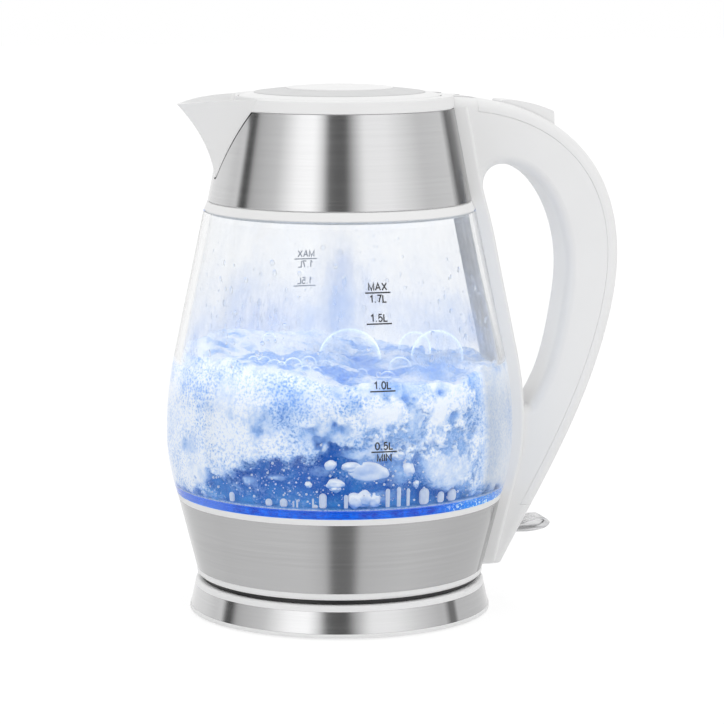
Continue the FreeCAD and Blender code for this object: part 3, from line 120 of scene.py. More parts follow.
# Pools of clear water on the surface, in millimetres: right of the axis, back, width, depth, whiteness
POOLS = [
    (9.5, 3, 34, 34, 0.10), (-0.5, -54, 24, 26, 0.10), (28.5, 44, 44, 34, 0.30), (50.5, -36, 30, 30, 0.42),
    (22.5, -30, 32, 26, 0.14), (47.5, 8, 26, 40, 0.58), (-26, -24, 44, 60, 0.36), (-30, -52, 26, 18, 0.24),
    (-8, -46, 22, 24, 0.18),
]
# Film bubbles on the surface, in millimetres: right of the axis, back, radius, lift
DOMES = [
    (4.8, 6.0, 15.0, 0.0), (46.6, 10.0, 12.6, 4.0), (36.5, 30.0, 8.0, 2.0),
    (28.0, -22.0, 5.4, 0.5), (22.0, -36.0, 4.0, 0.0), (10.0, -38.0, 3.0, 0.0), (-38.9, -42.0, 2.5, 0.0),
    (-29.5, -45.0, 4.2, 0.0), (-21.0, -48.0, 4.5, 0.0), (-26.0, -57.0, 2.1, 0.0), (-15.0, -60.0, 2.8, 0.0),
    (-10.5, -48.0, 2.4, 0.0), (-47.0, -36.0, 2.2, 0.0), (-8.0, -62.0, 1.8, 0.0), (-34.0, -36.0, 3.0, 0.0),
    (-34.0, 26.0, 3.4, 0.0), (-14.0, -36.0, 3.6, 0.0), (-6.0, -30.0, 3.0, 0.0),
]
DOME_FILM, DOME_ROOT = 0.22, 6.0
DOME_STEPS, DOME_SIDES = 14, 48

# Condensation on the wall above the water, and thicker steam in it: bearing, height, width, tall, share
MIST_LOW_Z, MIST_TOP_Z = 117.0, 186.0
MIST_DEPTH, MIST_FILM = 0.35, 0.08
MIST_COLUMNS, MIST_ROWS = 300, 90
STEAM_PATCHES = [
    (-0.5, 146, 16, 36, 0.36), (-11.5, 140, 8, 28, 0.30), (-28, 134, 34, 16, 0.20), (24, 134, 24, 26, 0.24),
    (43, 137, 28, 34, 0.30), (-65, 131, 9, 16, 0.40), (8, 127, 44, 18, 0.28), (33, 125, 38, 18, 0.36),
]
# Drops on the wall: how many, how far above the water they start and reach, how large and how far in
DROPLETS, DROPLET_SEED = 420, 5
DROPLET_START, DROPLET_REACH = 5, 52
DROPLET_SIZE, DROPLET_GROWTH = 0.6, 2.0
DROPLET_THICK, DROPLET_DEPTH = 0.5, 0.72

# Level marks, in millimetres: height of the line, words above it and words below it
LEVELS = [
    (158.8, "MAX", "1.7L"),
    (145.1, "1.5L", ""),
    (115.5, "1.0L", ""),
    (88.5, "0.5L", "MIN"),
]
MARK_LENGTH = 11.8
STROKE = 0.62
WORD_HEIGHT, WORD_GAP, LETTER_GAP = 3.1, 1.1, 0.80
MARK_DEPTH, MARK_BODY = 0.16, 0.06

# Painted shadow of the handle on the froth beside it: degrees from the handle and share of light
WATER_PAINTED_SHADOW = [(0, 1.0), (10, 1.0), (30, 0.80), (43.5, 0.74), (48, 1.0)]

# Colours of the water: their blue is the blue lamp's light in the water, painted into the colour
DEEP_BLUE = (0.003, 0.110, 0.470)
CLEAR_BLUE = (0.060, 0.290, 0.680)
SWIRL_BLUE = (0.060, 0.245, 0.770)
PALE_BLUE = (0.290, 0.470, 0.800)
FROTH_WHITE = (0.810, 0.850, 0.915)

# Froth at the wall: whiteness of froth, of clear water and of the thinnest froth, and of a painted highlight
# along the water's bottom edge at the hot plate
FROTH_FULL, CLEAR_FULL, THIN_FULL, BOTTOM_HIGHLIGHT_FULL = 0.88, 0.12, 0.46, 0.75
# Bearings where the froth rolls, and where it is smooth beside the handle: start, full, fading and end
ROLLING = (-2, 16, 50, 66)
BESIDE_HANDLE = (53, 59, 70, 90)
BESIDE_FULL = 0.86
# Ripples of the wall side in millimetres, and the share of its height where it turns into the surface
RIPPLE = 0.25
BRIM = 0.88
# How free of small bubbles the surface is
SURFACE_CALM = 0.7

# Brushed sheet: darker and lighter hairs, and roughness
STEEL_TINTS = ((0.60, 0.60, 0.605), (0.67, 0.67, 0.675))
STEEL_ROUGH = 0.20
# Painted dark reflections on the sheets beside the handle: degrees from it and share of light
COLLAR_PAINTED_REFLECTION = [(0, 0.55), (24, 0.50), (33, 0.22), (40, 0.18), (46, 1.0)]
BAND_PAINTED_REFLECTION = [(0, 0.42), (32, 0.44), (33.5, 0.92), (60, 0.93), (80, 1.0)]
BASE_PAINTED_REFLECTION = [(0, 0.86), (52.5, 0.86), (54.5, 0.29), (57, 0.29), (60, 0.85), (72, 0.90), (86, 1.0)]

# Brightness of the studio round the object: degrees to the right of the camera's side, and level.
# Large panels leave a dark gap at the camera and a slit on the left. Below, grey goes round to the same gap.
STUDIO = [
    (-180, 1.00), (-126, 0.95), (-110, 0.80), (-103, 0.96), (-102, 0.90), (-99, 0.05), (-91, 0.06),
    (-87, 0.60), (-60, 0.82), (-40, 1.45), (-24, 1.55), (-16, 1.00), (-10, 0.14), (6, 0.10), (13, 0.60),
    (24, 1.24), (46, 1.24), (84, 0.80), (110, 0.84), (140, 0.86), (180, 1.00),
]
STUDIO_BELOW = [
    (-180, 0.70), (-30, 0.74), (-12, 0.66), (-6, 0.20), (11, 0.20), (18, 0.66), (60, 0.74), (180, 0.70),
]
STUDIO_ABOVE = (1.12, 1.12, 1.12)
FLOOR_HALF = 6.0


# Small helpers for shader nodes


def new_material(name):
    """A material with one Principled shader, and that shader."""
    made = bpy.data.materials.new(name)
    made.use_nodes = True
    return made, made.node_tree.nodes["Principled BSDF"]


def add(tree, kind, **inputs):
    """A new node. Plain inputs are set, and sockets given as inputs are linked."""
    made = tree.nodes.new("ShaderNode" + kind)
    for name, value in inputs.items():
        put(tree, made.inputs[name.replace("_", " ")], value)
    return made


def put(tree, socket, value):
    """Links a socket to a socket, or sets it to a plain value."""
    if isinstance(value, bpy.types.NodeSocket):
        tree.links.new(value, socket)
    else:
        socket.default_value = value


def place(tree, scale=(1.0, 1.0, 1.0)):
    """Object coordinates in metres, stretched by scale."""
    source = tree.nodes.new("ShaderNodeTexCoord").outputs["Object"]
    return add(tree, "Mapping", Vector=source, Scale=scale).outputs["Vector"]


def attribute(tree, name):
    """A number that the mesh holds at each point."""
    made = tree.nodes.new("ShaderNodeAttribute")
    made.attribute_name = name
    return made.outputs["Fac"]


def cloud(tree, vector, scale, detail, rough=0.5):
    """Soft noise: blotches per unit, octaves, and how strong the finer ones are."""
    return add(tree, "TexNoise", Vector=vector, Scale=scale, Detail=detail, Roughness=rough).outputs["Fac"]


def spread(tree, value, low, high, start=0.0, end=1.0):
    """Maps value from low..high to start..end, clamped."""
    made = add(tree, "MapRange", Value=value)
    made.inputs["From Min"].default_value = low
    made.inputs["From Max"].default_value = high
    made.inputs["To Min"].default_value = start
    made.inputs["To Max"].default_value = end
    return made.outputs["Result"]


def ramp(tree, value, stops):
    """A colour ramp through (place, colour) stops."""
    made = add(tree, "ValToRGB", Fac=value)
    elements = made.color_ramp.elements
    while len(elements) < len(stops):
        elements.new(0.5)
    for element, (at, colour) in zip(elements, stops):
        element.position = at
        element.color = (*colour, 1.0)
    return made.outputs["Color"]


def math_node(tree, operation, first, second=0.0):
    made = tree.nodes.new("ShaderNodeMath")
    made.operation = operation
    put(tree, made.inputs[0], first)
    put(tree, made.inputs[1], second)
    return made.outputs["Value"]


def product(tree, first, second):
    return math_node(tree, "MULTIPLY", first, second)


def total(tree, first, second):
    return math_node(tree, "ADD", first, second)


def blend_colours(tree, factor, first, second, how="MIX"):
    made = tree.nodes.new("ShaderNodeMix")
    made.data_type = "RGBA"
    made.blend_type = how
    put(tree, made.inputs["Factor"], factor)
    for socket, value in ((made.inputs[6], first), (made.inputs[7], second)):
        put(tree, socket, value if isinstance(value, bpy.types.NodeSocket) else (*value, 1.0))
    return made.outputs[2]


def grey_stops(levels, start, span):
    """Grey ramp stops from (degrees, level) pairs, for a ramp of span degrees that begins at start."""
    return [((degrees - start) / span, (level,) * 3) for degrees, level in levels]


def from_handle(tree):
    """Turn about the jug's axis away from the handle, as a share of half a turn."""
    at = add(tree, "SeparateXYZ", Vector=place(tree)).outputs
    turn = math_node(tree, "ARCTAN2", math_node(tree, "ABSOLUTE", at["Y"]), at["X"])
    return math_node(tree, "DIVIDE", turn, math.pi)


def paint_dark_by_handle(tree, tint, levels):
    """A colour darkened beside the handle by painted shade, as on the froth, and by painted reflection, as on
    the sheets: (degrees from the handle, share of light) levels.
    """
    shade = ramp(tree, from_handle(tree), grey_stops(levels, 0, 180))
    return blend_colours(tree, 1.0, tint, shade, "MULTIPLY")


def paint(shader, **inputs):
    """Sets or links inputs of a shader."""
    for name, value in inputs.items():
        put(shader.id_data, shader.inputs[name.replace("_", " ")], value)


def bumped(tree, shader, height, strength, distance):
    made = add(tree, "Bump", Height=height, Strength=strength, Distance=distance)
    paint(shader, Normal=made.outputs["Normal"])


def mix_shaders(tree, factor, first, second):
    """One of two shaders, by factor."""
    made = add(tree, "MixShader", Fac=factor)
    tree.links.new(first.outputs[0], made.inputs[1])
    tree.links.new(second.outputs[0], made.inputs[2])
    return made


def either_ray(tree, first, second):
    """1 for rays of either of two kinds."""
    path = tree.nodes.new("ShaderNodeLightPath").outputs
    return math_node(tree, "MAXIMUM", path[f"Is {first} Ray"], path[f"Is {second} Ray"])


def show(tree, shader):
    tree.links.new(shader.outputs[0], tree.nodes["Material Output"].inputs["Surface"])


def let_lamps_through(made, shader, tint):
    """Light from lamps and walls passes the shader unbent, so what is behind it is lit."""
    tree = made.node_tree
    clear = add(tree, "BsdfTransparent", Color=(*tint, 1.0))
    show(tree, mix_shaders(tree, either_ray(tree, "Shadow", "Diffuse"), shader, clear))


# Finishes of the moulded, pressed and blown pieces


def moulded_plastic(name, dark, light, rough):
    """Satin moulded plastic: faint flow clouds in the colour and a fine spark-eroded grain."""
    made, shader = new_material(name)
    tree = made.node_tree
    at = place(tree)
    flow = cloud(tree, at, 18.0, 2.0)
    paint(shader, Base_Color=ramp(tree, flow, [(0.3, dark), (0.7, light)]))
    fine = cloud(tree, at, 2400.0, 2.0)
    smear = cloud(tree, at, 90.0, 4.0)
    paint(shader, Roughness=spread(tree, smear, 0.3, 0.7, rough - 0.05, rough + 0.06))
    bumped(tree, shader, fine, 0.06, 0.0002)
    return made


def brushed_steel(name, painted_reflection=()):
    """Stainless sheet brushed round its axis: hair lines run level and highlights spread up and down.

    Beside the handle the sheet may carry a painted dark reflection, by (degrees from the handle, share of
    light) stops.
    """
    made, shader = new_material(name)
    tree = made.node_tree
    hair = cloud(tree, place(tree, (26.0, 26.0, 7000.0)), 1.0, 5.0, 0.65)
    streak = cloud(tree, place(tree, (9.0, 9.0, 900.0)), 1.0, 3.0)
    both = total(tree, product(tree, hair, 0.7), product(tree, streak, 0.3))
    dark, light = STEEL_TINTS
    tint = ramp(tree, both, [(0.3, dark), (0.7, light)])
    # Painted dark reflection beside the handle, put into the sheet's colour
    if painted_reflection:
        tint = paint_dark_by_handle(tree, tint, painted_reflection)
    paint(
        shader,
        Base_Color=tint,
        Roughness=spread(tree, both, 0.3, 0.7, STEEL_ROUGH - 0.03, STEEL_ROUGH + 0.04),
        Metallic=1.0,
        Anisotropic=0.75,
        Anisotropic_Rotation=0.25,
    )
    tangent = tree.nodes.new("ShaderNodeTangent")
    tangent.direction_type = "RADIAL"
    tangent.axis = "Z"
    paint(shader, Tangent=tangent.outputs["Tangent"])
    bumped(tree, shader, hair, 0.015, 0.00005)
    return made


def bright_metal(name, dark, light, rough, grain):
    """Drawn or stamped metal with fine tool marks and dull patches."""
    made, shader = new_material(name)
    tree = made.node_tree
    marks = cloud(tree, place(tree, (1.0, 1.0, 3.0)), grain, 4.0)
    patch = cloud(tree, place(tree), 120.0, 3.0)
    paint(
        shader,
        Base_Color=ramp(tree, patch, [(0.3, dark), (0.7, light)]),
        Roughness=spread(tree, marks, 0.3, 0.7, rough - 0.06, rough + 0.10),
        Metallic=1.0,
    )
    bumped(tree, shader, marks, 0.10, 0.0001)
    return made


def blown_glass(name):
    """Clear borosilicate with the faint waviness of blown ware.

    Where water wets the bore, light leaves the glass less bent.
    """
    made, shader = new_material(name)
    tree = made.node_tree
    wave = cloud(tree, place(tree, (1.0, 1.0, 0.5)), 40.0, 1.0)
    height = add(tree, "SeparateXYZ", Vector=place(tree)).outputs["Z"]
    wet = spread(tree, height, (WATER_LEVEL_Z + 1) * MM, (WATER_LEVEL_Z + 3) * MM, 1.0, 0.0)
    leaving = tree.nodes.new("ShaderNodeNewGeometry").outputs["Backfacing"]
    into_water = GLASS_INDEX / WATER_INDEX
    paint(
        shader,
        Base_Color=(0.985, 0.993, 1.0, 1.0),
        Roughness=spread(tree, wave, 0.3, 0.7, 0.0, 0.02),
        Transmission_Weight=1.0,
        IOR=spread(tree, product(tree, wet, leaving), 0.0, 1.0, GLASS_INDEX, into_water),
    )
    bumped(tree, shader, wave, 0.02, 0.001)
    let_lamps_through(made, shader, (0.97, 0.985, 1.0))
    return made


def clear_acrylic(name):
    """Clear moulded acrylic with drawn flow streaks, and painted grey shade in its tint that is darker along
    the streaks.
    """
    made, shader = new_material(name)
    tree = made.node_tree
    streak = cloud(tree, place(tree, (60.0, 700.0, 700.0)), 1.0, 3.0)
    paint(shader, Roughness=spread(tree, streak, 0.3, 0.7, 0.04, 0.16))
    # Painted shade: grey tints, darkest along the streaks
    painted_shade_greys = [(0.36, (0.22, 0.22, 0.225)), (0.46, (0.62, 0.62, 0.63)), (0.64, (0.84, 0.845, 0.85))]
    tint = ramp(tree, streak, painted_shade_greys)
    paint(shader, Base_Color=tint, Transmission_Weight=1.0, IOR=ACRYLIC_INDEX)
    bumped(tree, shader, streak, 0.25, 0.0004)
    let_lamps_through(made, shader, (0.85, 0.86, 0.87))
    return made


def soft_rubber(name, dark, light, rough):
    """Dull moulded rubber with a fine grain."""
    made, shader = new_material(name)
    tree = made.node_tree
    grain = cloud(tree, place(tree), 1500.0, 3.0)
    paint(
        shader,
        Base_Color=ramp(tree, grain, [(0.3, dark), (0.7, light)]),
        Roughness=spread(tree, grain, 0.3, 0.7, rough - 0.08, rough + 0.08),
        Specular_IOR_Level=0.35,
    )
    bumped(tree, shader, grain, 0.15, 0.0001)
    return made


def circuit_board(name):
    """Green laminate with its woven glass showing through the lacquer."""
    made, shader = new_material(name)
    tree = made.node_tree
    weave = add(tree, "TexChecker", Vector=place(tree), Scale=1800.0).outputs["Fac"]
    mottled = cloud(tree, place(tree), 160.0, 3.0)
    tint = ramp(tree, mottled, [(0.3, (0.012, 0.10, 0.035)), (0.7, (0.02, 0.17, 0.06))])
    paint(shader, Base_Color=tint, Roughness=0.35)
    bumped(tree, shader, weave, 0.08, 0.00005)
    return made


def glowing_blue(name, strength, low, high):
    """A lit lamp: blue light with bright and dull runs in it."""
    made, shader = new_material(name)
    tree = made.node_tree
    run = cloud(tree, place(tree), 260.0, 4.0, 0.7)
    tint = ramp(tree, run, [(0.36, low), (0.66, high)])
    paint(
        shader,
        Base_Color=tint,
        Emission_Color=tint,
        Emission_Strength=strength,
        Roughness=spread(tree, run, 0.3, 0.7, 0.3, 0.5),
        Specular_IOR_Level=0.25,
    )
    return made


def lit_seal(name):
    """Light-guiding silicone: deep blue in front, milky near the spout and sparkling near the handle."""
    made, shader = new_material(name)
    tree = made.node_tree
    at = place(tree)
    run = cloud(tree, at, 260.0, 4.0, 0.7)
    tint = ramp(tree, run, [(0.36, (0.001, 0.058, 0.46)), (0.66, (0.002, 0.200, 0.79))])
    turn = from_handle(tree)
    tint = blend_colours(tree, spread(tree, turn, 0.77, 0.86, 0.0, 0.8), tint, (0.095, 0.240, 0.680))
    tint = blend_colours(tree, spread(tree, turn, 0.38, 0.28, 0.0, 0.85), tint, (0.004, 0.270, 0.720))
    spark = spread(tree, cloud(tree, at, 620.0, 3.0, 0.6), 0.54, 0.60)
    spark = product(tree, spark, spread(tree, turn, 0.37, 0.30))
    tint = blend_colours(tree, spark, tint, (0.72, 0.90, 0.86))
    paint(
        shader,
        Base_Color=tint,
        Emission_Color=tint,
        Emission_Strength=0.42,
        Roughness=spread(tree, run, 0.3, 0.7, 0.3, 0.5),
        Specular_IOR_Level=0.25,
    )
    return made


def finishes():
    """One finish for each material slot of the record."""
    return {
        "white_plastic": moulded_plastic("white_plastic", (0.855, 0.855, 0.855), (0.875, 0.875, 0.875), 0.34),
        "grey_plastic": moulded_plastic("grey_plastic", (0.62, 0.622, 0.625), (0.65, 0.652, 0.655), 0.36),
        "black_plastic": moulded_plastic("black_plastic", (0.012, 0.012, 0.013), (0.02, 0.02, 0.022), 0.45),
        "steel": brushed_steel("steel"),
        "fixing_steel": bright_metal("fixing_steel", (0.50, 0.50, 0.51), (0.62, 0.62, 0.63), 0.30, 900.0),
        "jar_glass": blown_glass("jar_glass"),
        "clear_plastic": clear_acrylic("clear_plastic"),
        "silicone": soft_rubber("silicone", (0.62, 0.64, 0.66), (0.70, 0.72, 0.74), 0.55),
        "black_rubber": soft_rubber("black_rubber", (0.010, 0.010, 0.011), (0.022, 0.022, 0.023), 0.70),
        "brass": bright_metal("brass", (0.68, 0.48, 0.18), (0.80, 0.60, 0.28), 0.26, 1200.0),
        "aluminium": bright_metal("aluminium", (0.66, 0.67, 0.69), (0.78, 0.79, 0.80), 0.38, 700.0),
        "board": circuit_board("board"),
        "blue_led": glowing_blue("blue_led", 2.0, (0.01, 0.10, 1.0), (0.05, 0.35, 1.0)),
    }


def own_finishes():
    """Finishes of single pieces: two seals carry the light, and three sheets carry painted dark reflections
    beside the handle.
    """
    lit = lit_seal("lit_seal")
    return {
        "glass_seal": lit,
        "plate_seal": lit,
        "steel_collar": brushed_steel("collar_steel", COLLAR_PAINTED_REFLECTION),
        "lower_steel_band": brushed_steel("band_steel", BAND_PAINTED_REFLECTION),
        "base_steel_band": brushed_steel("base_steel", BASE_PAINTED_REFLECTION),
    }


def dress_frame():
    """Every carried-over piece gets its own finish or the finish of its slot."""
    finish = finishes()
    own = own_finishes()
    for name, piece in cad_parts.items():
        for slot in piece.material_slots:
            slot.material = own.get(name) or finish[slot.material.name.split(".")[0]]


def latch_coil():
    """The latch's spring, seated in the handle, as a piece of its own that rides on the jug, with its own
    mesh.
    """
    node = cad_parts["latch_spring"]
    piece = new_piece("latch_coil", node.data.copy(), node.material_slots[0].material, "jug")
    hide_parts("latch_spring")
    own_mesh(piece)


# Shapes of the jar


def glass_radius(z):
    """Outer radius of the jar in millimetres."""
    if z <= BELLY_Z:
        return BELLY_RADIUS - ARC_LOW + math.sqrt(ARC_LOW**2 - (z - BELLY_Z) ** 2)
    arc_z = min(z, CONE_START_Z)
    root = math.sqrt(ARC_HIGH**2 - (arc_z - BELLY_Z) ** 2)
    return BELLY_RADIUS - ARC_HIGH + root - (arc_z - BELLY_Z) / root * (z - arc_z)


def bore_radius(z):
    """Inner radius of the jar in millimetres, with its rounded heel."""
    if z >= HEEL_TOP_Z:
        return glass_radius(z) - GLASS_WALL
    wide = glass_radius(HEEL_TOP_Z) - GLASS_WALL
    rise = max(0.0, (z - HEEL_BORE_Z) / (HEEL_TOP_Z - HEEL_BORE_Z))
    return HEEL_BORE + (wide - HEEL_BORE) * math.sqrt(max(0.0, 1 - (1 - rise) ** 2))


def waves(x, y, z, octaves, fade=0.8, finer=2.1):
    """Fractal noise at a point: how many octaves, how fast they fade and how much finer each one is."""
    return noise.fractal(Vector((x, y, z)), fade, finer, octaves)


def smooth(low, high, value):
    """Rises from 0 at low to 1 at high, with soft ends."""
    part = min(1.0, max(0.0, (value - low) / (high - low)))
    return part * part * (3 - 2 * part)


def between(span, value):
    """1 within a span and 0 outside it: the span's start, full, fading and end."""
    start, full, fading, end = span
    return smooth(start, full, value) * smooth(end, fading, value)


def new_piece(name, mesh, made, body):
    """A finished object that rides on a body."""
    piece = bpy.data.objects.new(name, mesh)
    bpy.context.scene.collection.objects.link(piece)
    mesh.materials.clear()
    mesh.materials.append(made)
    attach(piece, body)
    return piece


def mesh_of(name, shape):
    """Closes a bmesh into a smooth mesh."""
    made = bpy.data.meshes.new(name)
    bmesh.ops.recalc_face_normals(shape, faces=shape.faces)
    shape.to_mesh(made)
    shape.free()
    made.shade_smooth()
    return made


# Boiling water


def along(line, at):
    """Height at a bearing on a line of (bearing, height) points."""
    for (low, low_z), (high, high_z) in zip(line, line[1:]):
        if at <= high:
            return low_z + (high_z - low_z) * (at - low) / (high - low)
    return line[-1][1]


def side_bearing(angle):
    """Bearing in degrees from the middle of the nearer of the jar's two sides, the front and the back."""
    return (math.degrees(angle - FRONT) + 90) % 180 - 90


def patch_share(across, up, width, tall, ragged):
    """How far a point lies in an oval patch with a ragged edge, from 0 to 1."""
    return smooth(1.45, 0.35, math.hypot(across / width, up / tall) * 2 + ragged)


def froth_at(angle, z):
    """How full of steam the water at the wall is and how free of small bubbles, both from 0 to 1."""
    x, y = math.cos(angle), math.sin(angle)
    bearing = side_bearing(angle)
    wisp = waves(x * 8, y * 8, z / 9, 5)
    swirl = waves(x * 3, y * 3, z / 26 + 7, 4, fade=0.9)
    curl = waves(x * 17, y * 17, z / 5 + 3, 3)
    roll = waves(x * 8 + 1.5 * swirl, y * 8, z / 12 + 1.5 * wisp, 3, fade=1.0, finer=2.2)
    risen = smooth(-4.5, 4.5, z + 4 * wisp - along(CLEAR_LINE, bearing))
    clear = max(0.0, CLEAR_FULL + 0.34 * wisp + 0.20 * swirl)
    full = risen * (FROTH_FULL + 0.34 * swirl) + (1 - risen) * clear
    rolling = between(ROLLING, bearing)
    full -= (0.46 * rolling + 0.08) * smooth(0.25, -0.45, roll) * risen
    full = max(full + 0.22 * rolling * curl * risen - 0.05 * rolling, THIN_FULL * risen)
    # Painted highlight: a pale line along the water's bottom edge
    full = max(full, BOTTOM_HIGHLIGHT_FULL * smooth(62.0, 61.0, z))
    calm = 0.6 * rolling * smooth(0.30, -0.30, roll)
    for middle, height, width, tall, white in CLOUDS:
        across = math.radians(bearing - middle) * bore_radius(height)
        if abs(across) < width and abs(z - height) < tall:
            share = patch_share(across, z - height, width, tall, 0.40 * wisp + 0.35 * curl)
            full += (white + 0.18 * curl - full) * share
            calm = max(calm, share)
    beside = between(BESIDE_HANDLE, bearing) * risen
    full += (BESIDE_FULL - full) * 0.6 * beside
    return min(1.0, max(0.0, full)), max(calm, 0.55 * beside)


def seen_at(x, y):
    """How far a place on the surface lies to the right of the jug's axis and behind it, from the camera."""
    right = x * math.cos(CAMERA_HEADING) + y * math.sin(CAMERA_HEADING)
    back = y * math.cos(CAMERA_HEADING) - x * math.sin(CAMERA_HEADING)
    return right, back


def on_surface(right, back):
    """Place on the surface from its distances to the right of the jug's axis and behind it."""
    x = right * math.cos(CAMERA_HEADING) - back * math.sin(CAMERA_HEADING)
    y = right * math.sin(CAMERA_HEADING) + back * math.cos(CAMERA_HEADING)
    return x, y


def surface_height(x, y):
    """Height of the heaving surface at a point, in millimetres. Froth piles up on the left."""
    swell = waves(x / SWELL_LENGTH, y / SWELL_LENGTH, 1.7, 4, finer=2.2)
    chop = waves(x / CHOP_LENGTH, y / CHOP_LENGTH, 5.3, 3, finer=2.2)
    right = seen_at(x, y)[0] / bore_radius(WATER_LEVEL_Z)
    heave = SWELL * swell + CHOP * chop
    return WATER_LEVEL_Z + heave + PILED * smooth(0.35, -0.3, right) + END_RISE * right**2


def surface_froth(x, y):
    """How white the surface is at a point, from 0 to 1."""
    right, back = seen_at(x, y)
    swirl = waves(x / 15, y / 15, 9.1, 5)
    full = 0.84 - 0.16 * smooth(-30, 30, right) + 0.35 * swirl
    for middle, behind, width, deep, white in POOLS:
        full += (white - full) * patch_share(right - middle, back - behind, width, deep, 0.8 * swirl)
    full += 0.26 * waves(x / 6, y / 6, 4.2, 4)
    return min(1.0, max(0.0, full))


def boiling_water():
    """One closed body of water whose wall side is modelled by steam and whose top heaves."""
    shape = bmesh.new()
    froth = shape.verts.layers.float.new("froth")
    still = shape.verts.layers.float.new("calm")
    wall = shape.verts.layers.float.new("wall")
    rim = bore_radius(WATER_LEVEL_Z)
    rings = []
    for row in range(WATER_ROWS + 1):
        part = row / WATER_ROWS
        ring = []
        for column in range(WATER_COLUMNS):
            angle = math.tau * column / WATER_COLUMNS
            x, y = math.cos(angle), math.sin(angle)
            top = surface_height(rim * x, rim * y)
            z = WATER_BOTTOM_Z + (top - WATER_BOTTOM_Z) * part
            full, calm = froth_at(angle, z)
            full += (surface_froth(rim * x, rim * y) - full) * 0.8 * smooth(BRIM, 1.0, part)
            ripple = noise.noise(Vector((x * 30, y * 30, z / 2.6)))
            shore = smooth(0.0, 0.03, part)
            hollow = CLEAR_DEPTH * smooth(0.62, 0.05, full) + RIPPLE * ripple + RIPPLE
            radius = bore_radius(z) - (WATER_GAP + shore * hollow)
            vert = shape.verts.new((radius * x * MM, radius * y * MM, z * MM))
            vert[froth] = full
            vert[still] = calm
            vert[wall] = 1.0
            ring.append(vert)
        rings.append(ring)
    for inward in range(1, WATER_RINGS):
        share = 1 - inward / WATER_RINGS
        ring = []
        for edge_vert in rings[WATER_ROWS]:
            x, y = edge_vert.co.x / MM * share, edge_vert.co.y / MM * share
            vert = shape.verts.new((x * MM, y * MM, surface_height(x, y) * MM))
            vert[froth] = surface_froth(x, y)
            vert[still] = SURFACE_CALM
            ring.append(vert)
        rings.append(ring)
    for below, above in zip(rings, rings[1:]):
        for column in range(WATER_COLUMNS):
            following = (column + 1) % WATER_COLUMNS
            shape.faces.new((below[column], below[following], above[following], above[column]))
    shape.faces.new(rings[-1])
    shape.faces.new(list(reversed(rings[0])))
    new_piece("boiling_water", mesh_of("boiling_water", shape), water_finish(), "jug")


def water_finish():
    """Blue-lit water, with the lamp's blue painted into its colour: deep blue where it is clear, white with
    blue flecks between fine bubbles elsewhere.
    """
    made, shader = new_material("boiling_water")
    tree = made.node_tree
    full = attribute(tree, "froth")
    at = place(tree)
    height = add(tree, "SeparateXYZ", Vector=at).outputs["Z"]
    # Clear water turns lighter in blotches and towards the plate
    clear_lift = total(tree, cloud(tree, at, 70.0, 4.0, 0.6), spread(tree, height, 0.063, 0.073, 0.22, 0.0))
    clear = blend_colours(tree, spread(tree, clear_lift, 0.46, 0.78), DEEP_BLUE, CLEAR_BLUE)
    clear = blend_colours(tree, spread(tree, height, 0.098, 0.112), clear, SWIRL_BLUE)
    bubble = add(tree, "TexVoronoi", Vector=at, Scale=700.0).outputs["Distance"]
    fleck = spread(tree, cloud(tree, at, 820.0, 4.0, 0.68), 0.44, 0.66)
    patch = spread(tree, cloud(tree, at, 60.0, 4.0, 0.6), 0.38, 0.66)
    grain = product(tree, fleck, total(tree, product(tree, patch, 0.26), 0.32))
    grain = product(tree, grain, spread(tree, attribute(tree, "calm"), 0.0, 0.7, 1.0, 0.25))
    white = math_node(tree, "SUBTRACT", full, grain)
    body = blend_colours(tree, spread(tree, white, 0.02, 0.48), clear, PALE_BLUE)
    body = blend_colours(tree, spread(tree, white, 0.40, 0.86), body, FROTH_WHITE)
    # Painted shadow of the handle on the froth at the wall
    body = blend_colours(tree, attribute(tree, "wall"), body, paint_dark_by_handle(tree, body, WATER_PAINTED_SHADOW))
    # Painted glow: the water gives off its own colour, more towards the surface, in place of the lamp light
    # scattered in it
    painted_glow = blend_colours(tree, spread(tree, height, 0.104, 0.122, 0.14, 0.44), (0.0, 0.0, 0.0), body)
    paint(
        shader,
        Base_Color=body,
        Emission_Color=painted_glow,
        Emission_Strength=1.0,
        Roughness=spread(tree, full, 0.2, 0.8, 0.10, 0.45),
        Specular_IOR_Level=0.2,
    )
    bumped(tree, shader, bubble, 0.35, 0.0006)
    return made


def lathe(shape, profile, at, sides, flat=1.0, turn=0.0):
    """Turns a closed (radius, height) profile about an upright axis at a point, in millimetres.

    The ends of the profile lie on the axis. The form is squeezed by flat along its own X and then turned.
    """

    def placed(radius, height, angle):
        x, y = radius * math.cos(angle) * flat, radius * math.sin(angle)
        spun = Matrix.Rotation(turn, 3, "Z") @ Vector((x, y, height))
        return shape.verts.new((Vector(at) + spun) * MM)

    foot = placed(*profile[0], 0.0)
    head = placed(*profile[-1], 0.0)
    rings = [[placed(r, h, math.tau * i / sides) for i in range(sides)] for r, h in profile[1:-1]]
    for i in range(sides):
        j = (i + 1) % sides
        shape.faces.new((foot, rings[0][j], rings[0][i]))
        shape.faces.new((head, rings[-1][i], rings[-1][j]))
        for below, above in zip(rings, rings[1:]):
            shape.faces.new((below[i], below[j], above[j], above[i]))


def quarter(radius, height, count):
    """Points of a quarter ellipse from (radius, 0) towards (0, height), without its last point."""
    angles = [math.pi / 2 * i / count for i in range(count)]
    return [(radius * math.cos(a), height * math.sin(a)) for a in angles]


def wall_point(bearing, z, depth):
    """A point in millimetres inside the jar's wall, and the angle of its radius."""
    angle = FRONT + math.radians(bearing)
    radius = bore_radius(z) - depth
    return (radius * math.cos(angle), radius * math.sin(angle), z), angle


